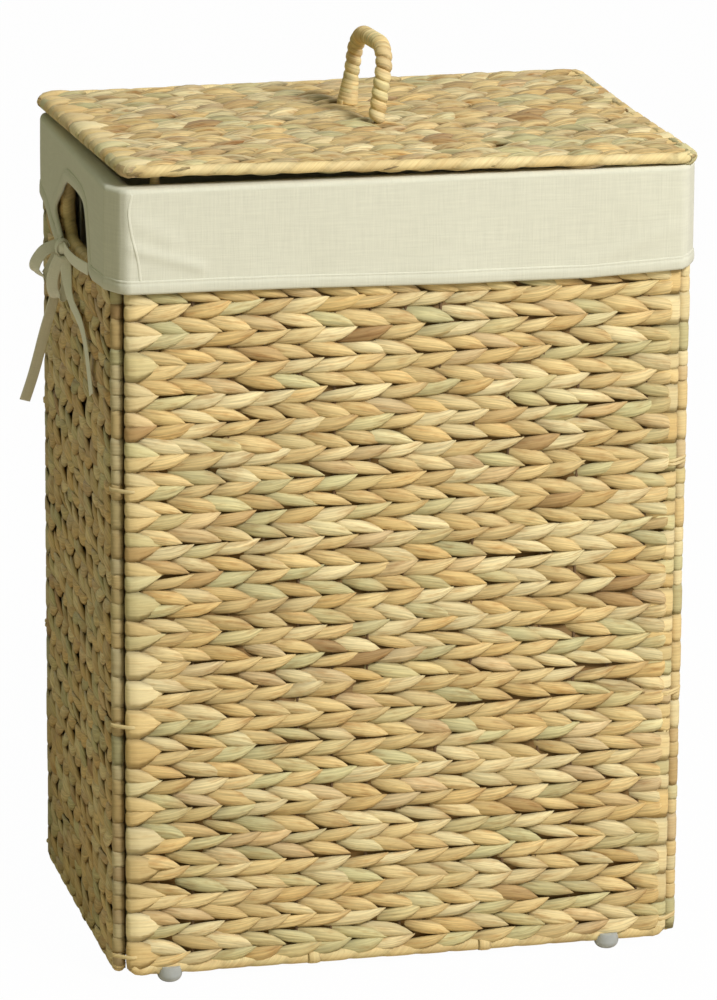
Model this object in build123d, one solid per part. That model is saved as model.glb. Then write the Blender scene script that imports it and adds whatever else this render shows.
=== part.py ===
from build123d import *
import math
import os

# Woven laundry basket: five wire-framed panels of twined leaf, lashed into a box, with a cloth
# liner folded over the rim and a lift-off woven lid. Millimetres, +Z up, the front faces -Y,
# and the origin is on the floor under the middle of the box.

# Box
WIDTH = 423.0
DEPTH = 280.0
RIM_HEIGHT = 583.0
FOOT_HEIGHT = 5.0
PANEL_THICKNESS = 12.0
FRONT_WIDTH = 404.0
SIDE_WIDTH = 264.0
BASE_MIDDLE_HEIGHT = 20.0
BASE_GAP = 1.5

# Wire, stakes and leaf binding of every panel
WIRE_RADIUS = 2.5
STAKE_RADIUS = 1.25
STAKE_PITCH = 25.5
BINDING_RADIUS = 4.75
FRAME_CORNER_RADIUS = 6.0
WEAVE_EDGE_STEP = 1.0
WEAVE_CHAMFER = 1.5
FIT = 0.05

# Rows of twined leaf: the grooves between them, on the faces that show
ROW_HEIGHT = 10.8
ROW_MARGIN = 7.4
GROOVE_DEPTH = 2.2
GROOVE_LAND = 0.8

# Hand hole of each side panel, measured along the centre of its bound wire
HOLE_WIDTH = 98.0
HOLE_HEIGHT = 56.0
HOLE_CORNER_RADIUS = 22.0
HOLE_MIDDLE_HEIGHT = 536.0

# Leaf strips that lash the panels together
TIE_THICKNESS = 1.2
TIE_WIDTH = 5.0
CORNER_TIE_FIRST = 20.0
CORNER_TIE_PITCH = 173.5
CORNER_TIE_COUNT = 4
BASE_TIE_SPREAD = 63.75
SIDE_TIE_PLACE = 12.75

# Clear plastic feet, by their places along the front and back bottom wires
FOOT_PLACES = (-170.0, 157.0)
FOOT_RADIUS = 9.0
FOOT_FLAT_RADIUS = 5.5
FOOT_TOP = 12.0

# Lid
LID_TOP = 600.0
LID_THICKNESS = 11.5
LID_SIZE = (421.0, 288.0)
LID_SKEW = 10.0
LID_CORNER_RADIUS = 15.0
PEG_RADIUS = 3.5
PEG_LENGTH = 17.0
PEG_SOCKET = 4.0
PEG_PLACE = (179.0, 120.5)

# Lid handle: an arch of wire wound with one leaf strand
HANDLE_PLACE = (4.0, 17.0)
HANDLE_SPAN = 66.0
HANDLE_CREST = 54.0
HANDLE_CORNER_RADIUS = 18.0
HANDLE_LEAN = 8.0
HANDLE_TWIST = 4.8
CORE_RADIUS = 1.6
STRAND_RADIUS = 2.1
WINDING_RADIUS = 4.0
WINDING_TURNS = 20
WINDING_END = 8.0
STRAND_DROP = (5.5, 4.5)
STRAND_SOCKET = 1.5

# Cloth liner
CLOTH = 1.2
CUFF_GAP = 1.0
CUFF_HEM_HEIGHT = 509.0
CUFF_CORNER_RADIUS = 12.0
CUFF_FOLD_RADIUS = 5.0
CUFF_CLEARANCE = 0.4
BAG_GAP = 1.0
BAG_FLOOR = 27.5
BAG_CORNER_RADIUS = 10.0
BAG_HOLE_MARGIN = 8.0
HEM_WIDTH = 9.0
HEM_THICKNESS = 0.8

# Notch in each side of the cuff, as (y, z): foot of the front edge, its shoulder, the front end of
# the crown, the rear shoulder, the rear end of the crown, the rear bend and foot of the rear edge
NOTCH_POINTS = ((-58.0, 512.0), (-51.0, 541.0), (-22.0, 554.0), (38.0, 550.0), (68.0, 527.0),
                (61.0, 514.5), (46.0, 508.0))
NOTCH_BELOW = 12.0

# Bow that closes the notch: cotton tape, with the left side's points listed from the knot outwards
TAPE_WIDTH = 9.0
TAPE_THICKNESS = 0.9
KNOT_PLACE = (-216.5, 34.0, 503.0)
KNOT_SIZE = (9.0, 13.0, 11.0)
STRAP_START = (-72.0, 513.5)
STRAP_DEPTH = 215.0
REAR_LOOP_Y = 41.0
REAR_LOOP = ((-219.0, 506.0), (-225.0, 504.0), (-232.0, 497.0), (-236.0, 488.0), (-233.0, 481.0),
             (-226.0, 480.0), (-221.0, 486.0), (-218.5, 495.0), (-217.0, 500.0))
FRONT_LOOP_Y = 28.0
FRONT_LOOP = ((-217.0, 499.0), (-215.0, 493.0), (-213.5, 484.0), (-214.5, 475.0), (-219.5, 470.5),
              (-225.0, 474.0), (-226.0, 483.0), (-223.0, 493.0), (-219.5, 499.0))
REAR_TAIL_Y = 46.0
REAR_TAIL = ((-217.0, 499.0), (-217.5, 482.0), (-219.5, 462.0), (-223.5, 441.0), (-229.5, 420.0),
             (-236.0, 402.0), (-242.5, 388.0))
FRONT_TAIL_X = -216.5
FRONT_TAIL = ((27.0, 499.0), (21.0, 482.0), (6.0, 471.0), (-16.0, 467.5), (-34.0, 462.0),
              (-49.0, 451.0), (-60.0, 437.0), (-70.0, 419.0))

# Sizes worked out from the ones above
PANEL_HEIGHT = RIM_HEIGHT - FOOT_HEIGHT
PANEL_MIDDLE_HEIGHT = FOOT_HEIGHT + PANEL_HEIGHT / 2
SIDE_MIDDLE = WIDTH / 2 - PANEL_THICKNESS / 2
FRONT_MIDDLE = DEPTH / 2 - PANEL_THICKNESS / 2
BOTTOM_WIRE_HEIGHT = FOOT_HEIGHT + BINDING_RADIUS
LID_MIDDLE_HEIGHT = LID_TOP - LID_THICKNESS / 2
LID_UNDERSIDE = LID_TOP - LID_THICKNESS
TIE_INNER_RADIUS = BINDING_RADIUS + 0.3


def save(name, *solids):
    """Write one named piece, or a group of like pieces, to its own file."""
    shape = solids[0] if len(solids) == 1 else Compound(list(solids))
    export_step(shape, f"parts/{name}.step")


def rounded_outline(width, height, radius, skew=0.0):
    """Four straight runs and four corner arcs in XY about the origin, the upper edge further left
    than the lower one by the skew."""
    if not skew:
        return RectangleRounded(width, height, radius).face()
    low, high = (width + skew) / 2, (width - skew) / 2
    corners = ((-high, -height / 2), (low, -height / 2), (high, height / 2), (-low, height / 2))
    return make_face(FilletPolyline(*corners, radius=radius, close=True)).face()


def rounded_loop(width, height, radius, skew=0.0):
    """Closed line round a rounded outline."""
    return rounded_outline(width, height, radius, skew).outer_wire()


def row_grooves(width, height, thickness, faces):
    """Triangular grooves between rows of leaf, along X on the chosen faces of a slab in XY."""
    count = round((height - 2 * ROW_MARGIN) / ROW_HEIGHT)
    row = (height - 2 * ROW_MARGIN) / count
    half = (row - GROOVE_LAND) / 2
    side = thickness / 2
    reach = half / GROOVE_DEPTH
    grooves = []
    for face in faces:
        notch = make_face(Polyline((-half - reach, face * (side + 1)), (0, face * (side - GROOVE_DEPTH)),
                                   (half + reach, face * (side + 1)), (-half - reach, face * (side + 1))))
        places = [index * row + ROW_MARGIN - height / 2 for index in range(1, count)]
        grooves += [extrude(Plane.YZ * Pos(place, 0) * notch, amount=width, both=True) for place in places]
    return grooves


def tube(path, radius, bore=0.0):
    """Round tube along a line, hollow where a bore is given."""
    section = Circle(radius) - Circle(bore) if bore else Circle(radius)
    return sweep(Plane(origin=path @ 0, z_dir=path % 0) * section, path=path).solid()


def tape(plane, points):
    """Flat tape whose line lies in a plane, with its width square to that plane."""
    radii = fold_radii(points)
    path = FilletPolyline(*[plane.from_local_coords((u, v)) for u, v in points], radius=radii)
    start = Plane(origin=path @ 0, x_dir=plane.z_dir, z_dir=path % 0)
    strip = sweep(start * Rectangle(TAPE_WIDTH, TAPE_THICKNESS), path=path).solid()
    expected = TAPE_WIDTH * TAPE_THICKNESS * path.length
    print(f"tape length {path.length:.1f}, radii {min(radii):.1f} to {max(radii):.1f},",
          f"volume share {strip.volume / expected:.3f}")
    return strip


def fold_radii(points):
    """Largest arc that each corner's two runs allow: 0.45 of the shorter over half the turn."""
    radii = []
    for before, corner, after in zip(points, points[1:], points[2:]):
        first = Vector(*corner) - Vector(*before)
        second = Vector(*after) - Vector(*corner)
        half_turn = math.radians(first.get_angle(second)) / 2
        radii.append(0.45 * min(first.length, second.length) / math.tan(half_turn))
    return radii


def stakes_across(width, height):
    """Straight warp wires along Y, evenly spaced over a panel's width, from binding to binding."""
    count = int((width - STAKE_PITCH / 2) // STAKE_PITCH)
    places = [(index - (count - 1) / 2) * STAKE_PITCH for index in range(count)]
    wire = Rot(90, 0, 0) * Cylinder(STAKE_RADIUS, height - 4 * BINDING_RADIUS)
    return [Pos(place, 0, 0) * wire for place in places]


def panel(width, height, thickness, corner_radius, faces=(1,), hole_height=None, skew=0.0):
    """Frame, stakes, binding and weave of one panel lying in XY, with any hand hole's pieces."""
    ring = rounded_outline(width - 2 * BINDING_RADIUS, height - 2 * BINDING_RADIUS, corner_radius, skew)
    loop = ring.outer_wire()
    pieces = {"frame": [tube(loop, WIRE_RADIUS)], "binding": [tube(loop, BINDING_RADIUS, WIRE_RADIUS)]}
    slab = extrude(offset(ring, -WEAVE_EDGE_STEP).face(), amount=thickness / 2, both=True)
    rims = slab.edges().group_by(Axis.Z)
    slab = chamfer(rims[0] + rims[-1], WEAVE_CHAMFER)
    slab -= row_grooves(width, height, thickness, faces)
    edge_room = tube(loop, BINDING_RADIUS + FIT)
    slab -= edge_room
    wires = stakes_across(width, height)
    if skew:
        wires = [(wire - edge_room).solid() for wire in wires]
    if hole_height is not None:
        at_hole = Pos(0, hole_height, 0)
        hole_loop = at_hole * rounded_loop(HOLE_WIDTH, HOLE_HEIGHT, HOLE_CORNER_RADIUS)
        gap = at_hole * extrude(RectangleRounded(HOLE_WIDTH, HOLE_HEIGHT, HOLE_CORNER_RADIUS),
                                amount=thickness, both=True)
        ring_room = tube(hole_loop, BINDING_RADIUS + FIT)
        slab = slab - gap - ring_room
        wires = [piece for wire in wires for piece in (wire - gap - ring_room).solids()]
        pieces["hole_frame"] = [tube(hole_loop, WIRE_RADIUS)]
        pieces["hole_binding"] = [tube(hole_loop, BINDING_RADIUS, WIRE_RADIUS)]
    pieces["stakes"] = wires
    pieces["weave"] = [slab]
    return pieces


def placed(plane, pieces):
    """The same pieces carried from XY to a plane of the basket."""
    return {kind: [plane.location * solid for solid in solids] for kind, solids in pieces.items()}


def tie(plane, first, second):
    """Flat leaf strip looped round two bound edges, and the room that it takes in the weave."""
    first, second = Vector(*first), Vector(*second)
    along = second - first
    middle = (first + second) / 2
    turn = math.degrees(math.atan2(along.Y, along.X))
    place = plane.location * Pos(middle.X, middle.Y, 0) * Rot(0, 0, turn)
    outer_radius = TIE_INNER_RADIUS + TIE_THICKNESS
    ring = (SlotCenterToCenter(along.length, 2 * outer_radius)
            - SlotCenterToCenter(along.length, 2 * TIE_INNER_RADIUS))
    band = place * extrude(ring, amount=TIE_WIDTH / 2, both=True)
    room_outline = SlotCenterToCenter(along.length, 2 * (outer_radius + FIT))
    room = place * extrude(room_outline, amount=TIE_WIDTH / 2 + FIT, both=True)
    return band.solid(), room.solid()


def corner_ties(side, face):
    """The lashings up one corner, with side -1 for left and face -1 for front."""
    side_edge = (side * SIDE_MIDDLE, face * (SIDE_WIDTH / 2 - BINDING_RADIUS))
    face_edge = (side * (FRONT_WIDTH / 2 - BINDING_RADIUS), face * FRONT_MIDDLE)
    heights = [CORNER_TIE_FIRST + step * CORNER_TIE_PITCH for step in range(CORNER_TIE_COUNT)]
    return [tie(Plane.XY.offset(height), side_edge, face_edge) for height in heights]


def base_ties():
    """The lashings between the base panel's edges and the bottom wires of the four walls."""
    base_x = WIDTH / 2 - PANEL_THICKNESS - BASE_GAP - BINDING_RADIUS
    base_y = DEPTH / 2 - PANEL_THICKNESS - BASE_GAP - BINDING_RADIUS
    ties = []
    for end in (-1, 1):
        for place in (-BASE_TIE_SPREAD, BASE_TIE_SPREAD):
            across = Plane(origin=(place, 0, 0), x_dir=(0, 1, 0), z_dir=(1, 0, 0))
            ties.append(tie(across, (end * base_y, BASE_MIDDLE_HEIGHT),
                            (end * FRONT_MIDDLE, BOTTOM_WIRE_HEIGHT)))
        ties.append(tie(Plane.XZ.offset(SIDE_TIE_PLACE), (end * base_x, BASE_MIDDLE_HEIGHT),
                        (end * SIDE_MIDDLE, BOTTOM_WIRE_HEIGHT)))
    return ties


def foot(place, face):
    """Domed plastic foot clipped to a bottom wire, flat where it stands."""
    profile = make_face(Polyline((0, FOOT_TOP), (0, 0), (FOOT_FLAT_RADIUS, 0))
                        + ThreePointArc((FOOT_FLAT_RADIUS, 0), (FOOT_RADIUS - 0.9, 2.2), (FOOT_RADIUS, 5.5))
                        + Polyline((FOOT_RADIUS, 5.5), (FOOT_RADIUS, FOOT_TOP), (0, FOOT_TOP)))
    dome = revolve(Plane.XZ * profile, axis=Axis.Z)
    reach = 4 * FOOT_RADIUS
    wire_room = Rot(0, 90, 0) * Cylinder(BINDING_RADIUS + FIT, reach)
    weave_room = Pos(0, 0, reach / 2) * Box(reach, PANEL_THICKNESS + 2 * FIT, reach)
    body = dome - Pos(0, 0, BOTTOM_WIRE_HEIGHT) * (wire_room + weave_room)
    return Pos(place, face * FRONT_MIDDLE, 0) * max(body.solids(), key=lambda solid: solid.volume)


def helix_line(arch, first, last):
    """Points and directions every quarter turn of the strand wound about the arch's wire."""
    pitch = (last - first) / WINDING_TURNS

    def wound(length):
        centre = arch.position_at(length, position_mode=PositionMode.LENGTH)
        ahead = arch.tangent_at(length, position_mode=PositionMode.LENGTH)
        outward = ahead.cross(Vector(1, 0, 0))
        angle = 2 * math.pi * (length - first) / pitch
        return centre + (outward * math.cos(angle) + Vector(1, 0, 0) * math.sin(angle)) * WINDING_RADIUS

    step = pitch / 4
    nudge = pitch / 400
    places = [first + index * step for index in range(4 * WINDING_TURNS + 1)]
    points = [wound(place) for place in places]
    ways = [(wound(place + nudge) - wound(place - nudge)).normalized() for place in places]
    return points, ways


def biarc(start, way_out, end, way_in):
    """Two tangent arcs from one point and direction to the next."""
    chord = end - start
    ways = way_out + way_in
    spread = 2 * (1 - way_out.dot(way_in))
    lean = chord.dot(ways)
    reach = (math.sqrt(lean * lean + spread * chord.dot(chord)) - lean) / spread
    leave = start + way_out * reach
    arrive = end - way_in * reach
    joint = (leave + arrive) / 2
    return [TangentArc(start, joint, tangent=way_out),
            TangentArc(joint, end, tangent=arrive - leave)]


def least_gap(path, skip):
    """Smallest clear distance between stretches of a tube further apart than skip along it."""
    count = int(path.length / (STRAND_RADIUS / 2))
    spots = [path.position_at(index / count * path.length, position_mode=PositionMode.LENGTH)
             for index in range(count + 1)]
    apart = int(skip / path.length * count)
    gaps = [(spots[later] - spots[index]).length for index in range(count)
            for later in range(index + apart, count + 1)]
    return min(gaps) - 2 * STRAND_RADIUS


def lid_handle():
    """Core wire and wound strand of the lid's handle, and the room of both in the lid."""
    half = HANDLE_SPAN / 2
    arch = FilletPolyline((0, -half, -LID_THICKNESS), (0, -half, HANDLE_CREST), (0, half, HANDLE_CREST),
                          (0, half, -LID_THICKNESS), radius=HANDLE_CORNER_RADIUS)
    core = tube(arch, CORE_RADIUS)
    first = LID_THICKNESS + WINDING_END
    points, ways = helix_line(arch, first, arch.length - first)
    outward, drop = STRAND_DROP
    up = Vector(0, 0, 1)
    ends = []
    rooms = []
    for point, way, leg in ((points[0], ways[0], -half), (points[-1], -ways[-1], half)):
        level = Vector(way.X, way.Y, 0).normalized()
        bend = point - level * outward - up * drop
        ends.append((bend, Vector(bend.X, bend.Y, -STRAND_SOCKET)))
        rooms.append(Pos(bend.X, bend.Y, 0) * Cylinder(STRAND_RADIUS + FIT, 2 * STRAND_SOCKET + 2 * FIT))
        rooms.append(Pos(0, leg, 0) * Cylinder(CORE_RADIUS + FIT, 4 * LID_THICKNESS))
    (first_bend, first_end), (last_bend, last_end) = ends
    rise = [Line(first_end, first_bend)] + biarc(first_bend, up, points[0], ways[0])
    fall = biarc(points[-1], ways[-1], last_bend, -up) + [Line(last_bend, last_end)]
    turns = [arc for start, end, way_out, way_in in zip(points, points[1:], ways, ways[1:])
             for arc in biarc(start, way_out, end, way_in)]
    path = Wire([edge.edge() for edge in rise + turns + fall])
    strand = tube(path, STRAND_RADIUS)
    one_turn = path.length / (WINDING_TURNS + 1)
    print(f"handle strand: gap to itself {least_gap(path, one_turn / 2):.2f},",
          f"volume share {strand.volume / (math.pi * STRAND_RADIUS ** 2 * path.length):.3f}")
    place = Pos(*HANDLE_PLACE, LID_TOP) * Rot(0, 0, HANDLE_TWIST) * Rot(0, HANDLE_LEAN, 0)
    return place * core, place * strand, [place * room for room in rooms]


def peg(x, y):
    """Round-ended leaf-wrapped peg under the lid, which drops inside the rim."""
    length = PEG_LENGTH + PEG_SOCKET
    pin = Cylinder(PEG_RADIUS, length, align=(Align.CENTER, Align.CENTER, Align.MAX))
    pin = fillet(pin.edges().group_by(Axis.Z)[0], PEG_RADIUS - 0.5)
    return Pos(x, y, LID_UNDERSIDE + PEG_SOCKET) * pin.solid()


def notch_face():
    """Outline of the cuff's side notch in the YZ plane: three arcs over a straight foot."""
    front, front_shoulder, crown, rear_shoulder, bulge, rear_bend, rear = NOTCH_POINTS
    low = CUFF_HEM_HEIGHT - NOTCH_BELOW
    lines = (Polyline((rear[0], low), (front[0], low), front)
             + ThreePointArc(front, front_shoulder, crown) + ThreePointArc(crown, rear_shoulder, bulge)
             + ThreePointArc(bulge, rear_bend, rear) + Line(rear, (rear[0], low)))
    return Plane.YZ * make_face(lines)


def shell(width, depth, radius, bottom, top, fold):
    """Upright rounded block whose top edge is rounded over."""
    block = extrude(Pos(0, 0, bottom) * RectangleRounded(width, depth, radius), amount=top - bottom)
    return fillet(block.edges().group_by(Axis.Z)[-1], fold)


def liner():
    """Bag, folded-over cuff, hem band and the bindings of the two side notches."""
    grow = 2 * CUFF_GAP
    skin = 2 * CLOTH
    cuff_top = RIM_HEIGHT + CUFF_CLEARANCE
    cuff = shell(WIDTH + grow + skin, DEPTH + grow + skin, CUFF_CORNER_RADIUS + CLOTH,
                 CUFF_HEM_HEIGHT, cuff_top + CLOTH, CUFF_FOLD_RADIUS)
    cuff -= shell(WIDTH + grow, DEPTH + grow, CUFF_CORNER_RADIUS,
                  CUFF_HEM_HEIGHT - 1, cuff_top, CUFF_FOLD_RADIUS - CLOTH)
    bag_width = WIDTH - 2 * (PANEL_THICKNESS + BAG_GAP)
    bag_depth = DEPTH - 2 * (PANEL_THICKNESS + BAG_GAP)
    bag_outline = RectangleRounded(bag_width, bag_depth, BAG_CORNER_RADIUS)
    mouth = RectangleRounded(bag_width - skin, bag_depth - skin, BAG_CORNER_RADIUS - CLOTH)
    cuff -= extrude(Pos(0, 0, cuff_top - 1) * mouth, amount=2 + CLOTH)
    bag = extrude(Pos(0, 0, BAG_FLOOR) * bag_outline, amount=cuff_top - BAG_FLOOR)
    bag -= extrude(Pos(0, 0, BAG_FLOOR + CLOTH) * mouth, amount=cuff_top)
    hand_gap = RectangleRounded(HOLE_WIDTH + BAG_HOLE_MARGIN, HOLE_HEIGHT + BAG_HOLE_MARGIN,
                                HOLE_CORNER_RADIUS)
    bag -= extrude(Plane.YZ * Pos(0, HOLE_MIDDLE_HEIGHT) * hand_gap, amount=WIDTH, both=True)
    notch = notch_face()
    cuff -= extrude(notch, amount=WIDTH, both=True)
    band = 2 * HEM_THICKNESS
    outside = RectangleRounded(WIDTH + grow + skin + band, DEPTH + grow + skin + band,
                               CUFF_CORNER_RADIUS + CLOTH + HEM_THICKNESS)
    inside = RectangleRounded(WIDTH + grow + skin, DEPTH + grow + skin, CUFF_CORNER_RADIUS + CLOTH)
    hem = extrude(Pos(0, 0, CUFF_HEM_HEIGHT) * (outside - inside), amount=HEM_WIDTH)
    hem -= extrude(notch, amount=WIDTH, both=True)
    border = offset(notch, HEM_WIDTH) - notch
    cuff_face = WIDTH / 2 + CUFF_GAP + CLOTH
    trims = []
    for side in (-1, 1):
        trim = Pos(side * cuff_face, 0, 0) * extrude(border, amount=side * HEM_THICKNESS)
        trim -= Pos(0, 0, CUFF_HEM_HEIGHT + HEM_WIDTH) * Box(
            3 * WIDTH, 2 * DEPTH, 4 * HEM_WIDTH, align=(Align.CENTER, Align.CENTER, Align.MAX))
        trims.append(trim.solid())
    return bag.solid(), cuff.solid(), hem.solids(), trims


def left_bow():
    """Strap, knot, two loops and two tails of the left side's tape bow."""
    rear_plane = Plane(origin=(0, REAR_LOOP_Y, 0), x_dir=(1, 0, 0), z_dir=(0, -1, 0))
    front_plane = Plane(origin=(0, FRONT_LOOP_Y, 0), x_dir=(1, 0, 0), z_dir=(0, -1, 0))
    tail_plane = Plane(origin=(0, REAR_TAIL_Y, 0), x_dir=(1, 0, 0), z_dir=(0, -1, 0))
    wall_plane = Plane(origin=(FRONT_TAIL_X, 0, 0), x_dir=(0, 1, 0), z_dir=(1, 0, 0))
    knot = Pos(*KNOT_PLACE) * fillet(Box(*KNOT_SIZE).edges(), 3.0).solid()
    start = Vector(-STRAP_DEPTH - TAPE_THICKNESS / 2, *STRAP_START)
    end = Vector(start.X, KNOT_PLACE[1] - KNOT_SIZE[1] / 2 + 2, KNOT_PLACE[2] + 2)
    run = end - start
    lean = Plane(origin=start, x_dir=(1, 0, 0), z_dir=run)
    strap = extrude(lean * Rectangle(TAPE_THICKNESS, TAPE_WIDTH), amount=run.length).solid()
    return {"tie_knot": knot, "tie_strap": strap,
            "tie_rear_loop": tape(rear_plane, REAR_LOOP), "tie_front_loop": tape(front_plane, FRONT_LOOP),
            "tie_rear_tail": tape(tail_plane, REAR_TAIL), "tie_front_tail": tape(wall_plane, FRONT_TAIL)}


def cut(panels, name, rooms):
    """Take the room of lashings, pegs or feet out of a panel's weave."""
    weave = panels[name]["weave"][0]
    for room in rooms:
        weave = weave - room
    panels[name]["weave"] = [weave.solid()]


def main():
    os.makedirs("parts", exist_ok=True)
    front_plane = Plane(origin=(0, -FRONT_MIDDLE, PANEL_MIDDLE_HEIGHT), x_dir=(1, 0, 0), z_dir=(0, -1, 0))
    back_plane = Plane(origin=(0, FRONT_MIDDLE, PANEL_MIDDLE_HEIGHT), x_dir=(-1, 0, 0), z_dir=(0, 1, 0))
    left_plane = Plane(origin=(-SIDE_MIDDLE, 0, PANEL_MIDDLE_HEIGHT), x_dir=(0, -1, 0), z_dir=(-1, 0, 0))
    right_plane = Plane(origin=(SIDE_MIDDLE, 0, PANEL_MIDDLE_HEIGHT), x_dir=(0, 1, 0), z_dir=(1, 0, 0))
    wall = panel(FRONT_WIDTH, PANEL_HEIGHT, PANEL_THICKNESS, FRAME_CORNER_RADIUS)
    side = panel(SIDE_WIDTH, PANEL_HEIGHT, PANEL_THICKNESS, FRAME_CORNER_RADIUS,
                 hole_height=HOLE_MIDDLE_HEIGHT - PANEL_MIDDLE_HEIGHT)
    inset = 2 * (PANEL_THICKNESS + BASE_GAP)
    base = panel(WIDTH - inset, DEPTH - inset, PANEL_THICKNESS, FRAME_CORNER_RADIUS, faces=(-1,))
    lid = panel(*LID_SIZE, LID_THICKNESS, LID_CORNER_RADIUS, faces=(1, -1), skew=LID_SKEW)
    panels = {"front": placed(front_plane, wall), "back": placed(back_plane, wall),
              "left": placed(left_plane, side), "right": placed(right_plane, side),
              "base": placed(Plane.XY.offset(BASE_MIDDLE_HEIGHT), base),
              "lid": placed(Plane.XY.offset(LID_MIDDLE_HEIGHT), lid)}

    for side_name, side_way in (("left", -1), ("right", 1)):
        for face_name, face_way in (("front", -1), ("back", 1)):
            ties = corner_ties(side_way, face_way)
            rooms = [room for band, room in ties]
            cut(panels, side_name, rooms)
            cut(panels, face_name, rooms)
            save(f"{face_name}_{side_name}_ties", *[band for band, room in ties])

    ties = base_ties()
    rooms = [room for band, room in ties]
    for name in ("front", "back", "left", "right", "base"):
        cut(panels, name, rooms)
    save("base_ties", *[band for band, room in ties])

    for face_name, face_way in (("front", -1), ("back", 1)):
        for side_name, place in zip(("left", "right"), FOOT_PLACES):
            save(f"{face_name}_{side_name}_foot", foot(place, face_way))

    core, strand, rooms = lid_handle()
    pegs = [peg(x, y) for x in (-PEG_PLACE[0], PEG_PLACE[0]) for y in (-PEG_PLACE[1], PEG_PLACE[1])]
    cut(panels, "lid", rooms + pegs)
    save("lid_handle_core", core)
    save("lid_handle_winding", strand)
    save("lid_pegs", *pegs)

    bag, cuff, hems, trims = liner()
    save("liner_bag", bag)
    save("liner_cuff", cuff)
    save("liner_hem", *hems)
    for name, trim in zip(("left", "right"), trims):
        save(f"{name}_notch_binding", trim)

    for name, piece in left_bow().items():
        save(f"left_{name}", piece)
        save(f"right_{name}", mirror(piece, about=Plane.YZ).solid())

    for name, pieces in panels.items():
        for kind, solids in pieces.items():
            save(f"{name}_{kind}", *solids)


main()
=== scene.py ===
"""Leaf, cloth and tape of a woven laundry basket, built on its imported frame.

Shapes are worked out in millimetres, in the frame's own axes: +Z up, the front faces -Y.
"""

import math
from collections import namedtuple

import bpy
import numpy as np
from bpy.props import FloatProperty, FloatVectorProperty, PointerProperty
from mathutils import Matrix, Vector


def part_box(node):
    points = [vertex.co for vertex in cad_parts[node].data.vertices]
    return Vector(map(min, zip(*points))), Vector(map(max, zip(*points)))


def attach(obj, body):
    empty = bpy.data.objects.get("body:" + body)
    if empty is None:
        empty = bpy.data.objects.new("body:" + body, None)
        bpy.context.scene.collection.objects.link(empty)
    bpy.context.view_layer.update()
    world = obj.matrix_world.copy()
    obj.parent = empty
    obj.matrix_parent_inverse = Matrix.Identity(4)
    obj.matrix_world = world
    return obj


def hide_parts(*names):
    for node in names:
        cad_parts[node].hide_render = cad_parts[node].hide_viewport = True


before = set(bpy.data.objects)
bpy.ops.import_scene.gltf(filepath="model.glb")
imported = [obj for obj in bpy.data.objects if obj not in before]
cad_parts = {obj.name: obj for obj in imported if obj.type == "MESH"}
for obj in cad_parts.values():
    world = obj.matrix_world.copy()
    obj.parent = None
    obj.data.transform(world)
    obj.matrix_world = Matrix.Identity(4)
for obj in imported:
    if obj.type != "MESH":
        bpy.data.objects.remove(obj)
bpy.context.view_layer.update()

bl_info = {
    "name": "Woven laundry basket",
    "version": (1, 0, 0),
    "blender": (4, 5, 0),
    "location": "3D View > Sidebar > Basket",
    "description": "Twined leaf, cloth liner and tape bows on the basket's packed frame",
    "category": "Add Mesh",
}

MM = 0.001

UP = np.array([0.0, 0.0, 1.0])

SEEDS = {"walls": 11, "lid": 31, "base": 41, "lashings": 51, "handle": 61, "pegs": 71}

# Points on a quarter circle of a wire
BEND_STEPS = 13

# A mesh, still in millimetres: points, faces, and each point's colour with any painted shade, and place on
# its leaf or cloth
Shape = namedtuple("Shape", "points quads tones fibre")
# A flat panel: its corner, its three directions and its size
Panel = namedtuple("Panel", "origin right up out width height")
# Twining of a face: bare foot, row height, tip pitch, leaf length and seat in millimetres; then how
# plump its leaves are, which share of wraps takes two rows, how plump wraps are, how broad leaves
# are and how deep their ends dive
Weave = namedtuple("Weave", "foot row pitch reach seat thick wide wrap full dive")

# Each wall: the way its rows run, and the way they stack
WALLS = {
    "front": ((1, 0, 0), (0, 0, 1)),
    "back": ((-1, 0, 0), (0, 0, 1)),
    "left": ((0, -1, 0), (0, 0, 1)),
    "right": ((0, 1, 0), (0, 0, 1)),
}

# Wires, in millimetres: from a panel's edge to the middle of its frame, radii of frames and stakes,
# the distance between stakes and the radii of the frames' corners
EDGE_WIRE = 4.75
FRAME_RADIUS = 2.5
STAKE_RADIUS = 1.25
STAKE_PITCH = 25.5
WALL_CORNER = 6.0
LID_CORNER = 15.0
HOLE_CORNER = 22.0

# Radius of a leaf binding, thickness of the filling inside a wall and how far the left wall's wraps
# keep inside its edges, in millimetres
BINDING_RADIUS = 4.9
FILLING = 5.6
LEFT_TRIM = 1.2

# Share of leaves in each colour, in the order of the settings, and of colours that they blend towards
TONE_SHARES = (0.36, 0.23, 0.17, 0.14, 0.07, 0.022, 0.008)
BLEND_SHARES = (0.5, 0.25, 0.15, 0.1, 0.0, 0.0, 0.0)
# Each leaf lies somewhere within this many millimetres of the fibres' pattern, so that no two look alike
FIBRE_SPREAD = 4000

# One twined leaf, from its tucked end to its tip: share of its length, then rise and half-width in
# row heights, lift and half-thickness in millimetres, and painted shade, darkest where the end tucks under
LEAF_STEPS = np.array([0.0, 0.12, 0.28, 0.44, 0.60, 0.75, 0.88, 0.96, 1.0])
LEAF_RISE = np.array([-0.34, -0.25, -0.15, -0.06, 0.02, 0.13, 0.29, 0.42, 0.49])
LEAF_HALF_WIDTH = np.array([0.26, 0.38, 0.46, 0.50, 0.50, 0.42, 0.26, 0.11, 0.03])
LEAF_LIFT = np.array([-4.0, -2.9, -1.5, -0.1, 0.7, 1.0, 0.9, 0.5, 0.1])
LEAF_HALF_THICKNESS = np.array([0.8, 1.5, 2.1, 2.5, 2.5, 2.1, 1.4, 0.8, 0.4])
LEAF_PAINTED_SHADE = np.array([0.62, 0.72, 0.86, 0.98, 1.02, 1.02, 0.98, 0.93, 0.88])
LEAF_SIDES = 8

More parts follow.
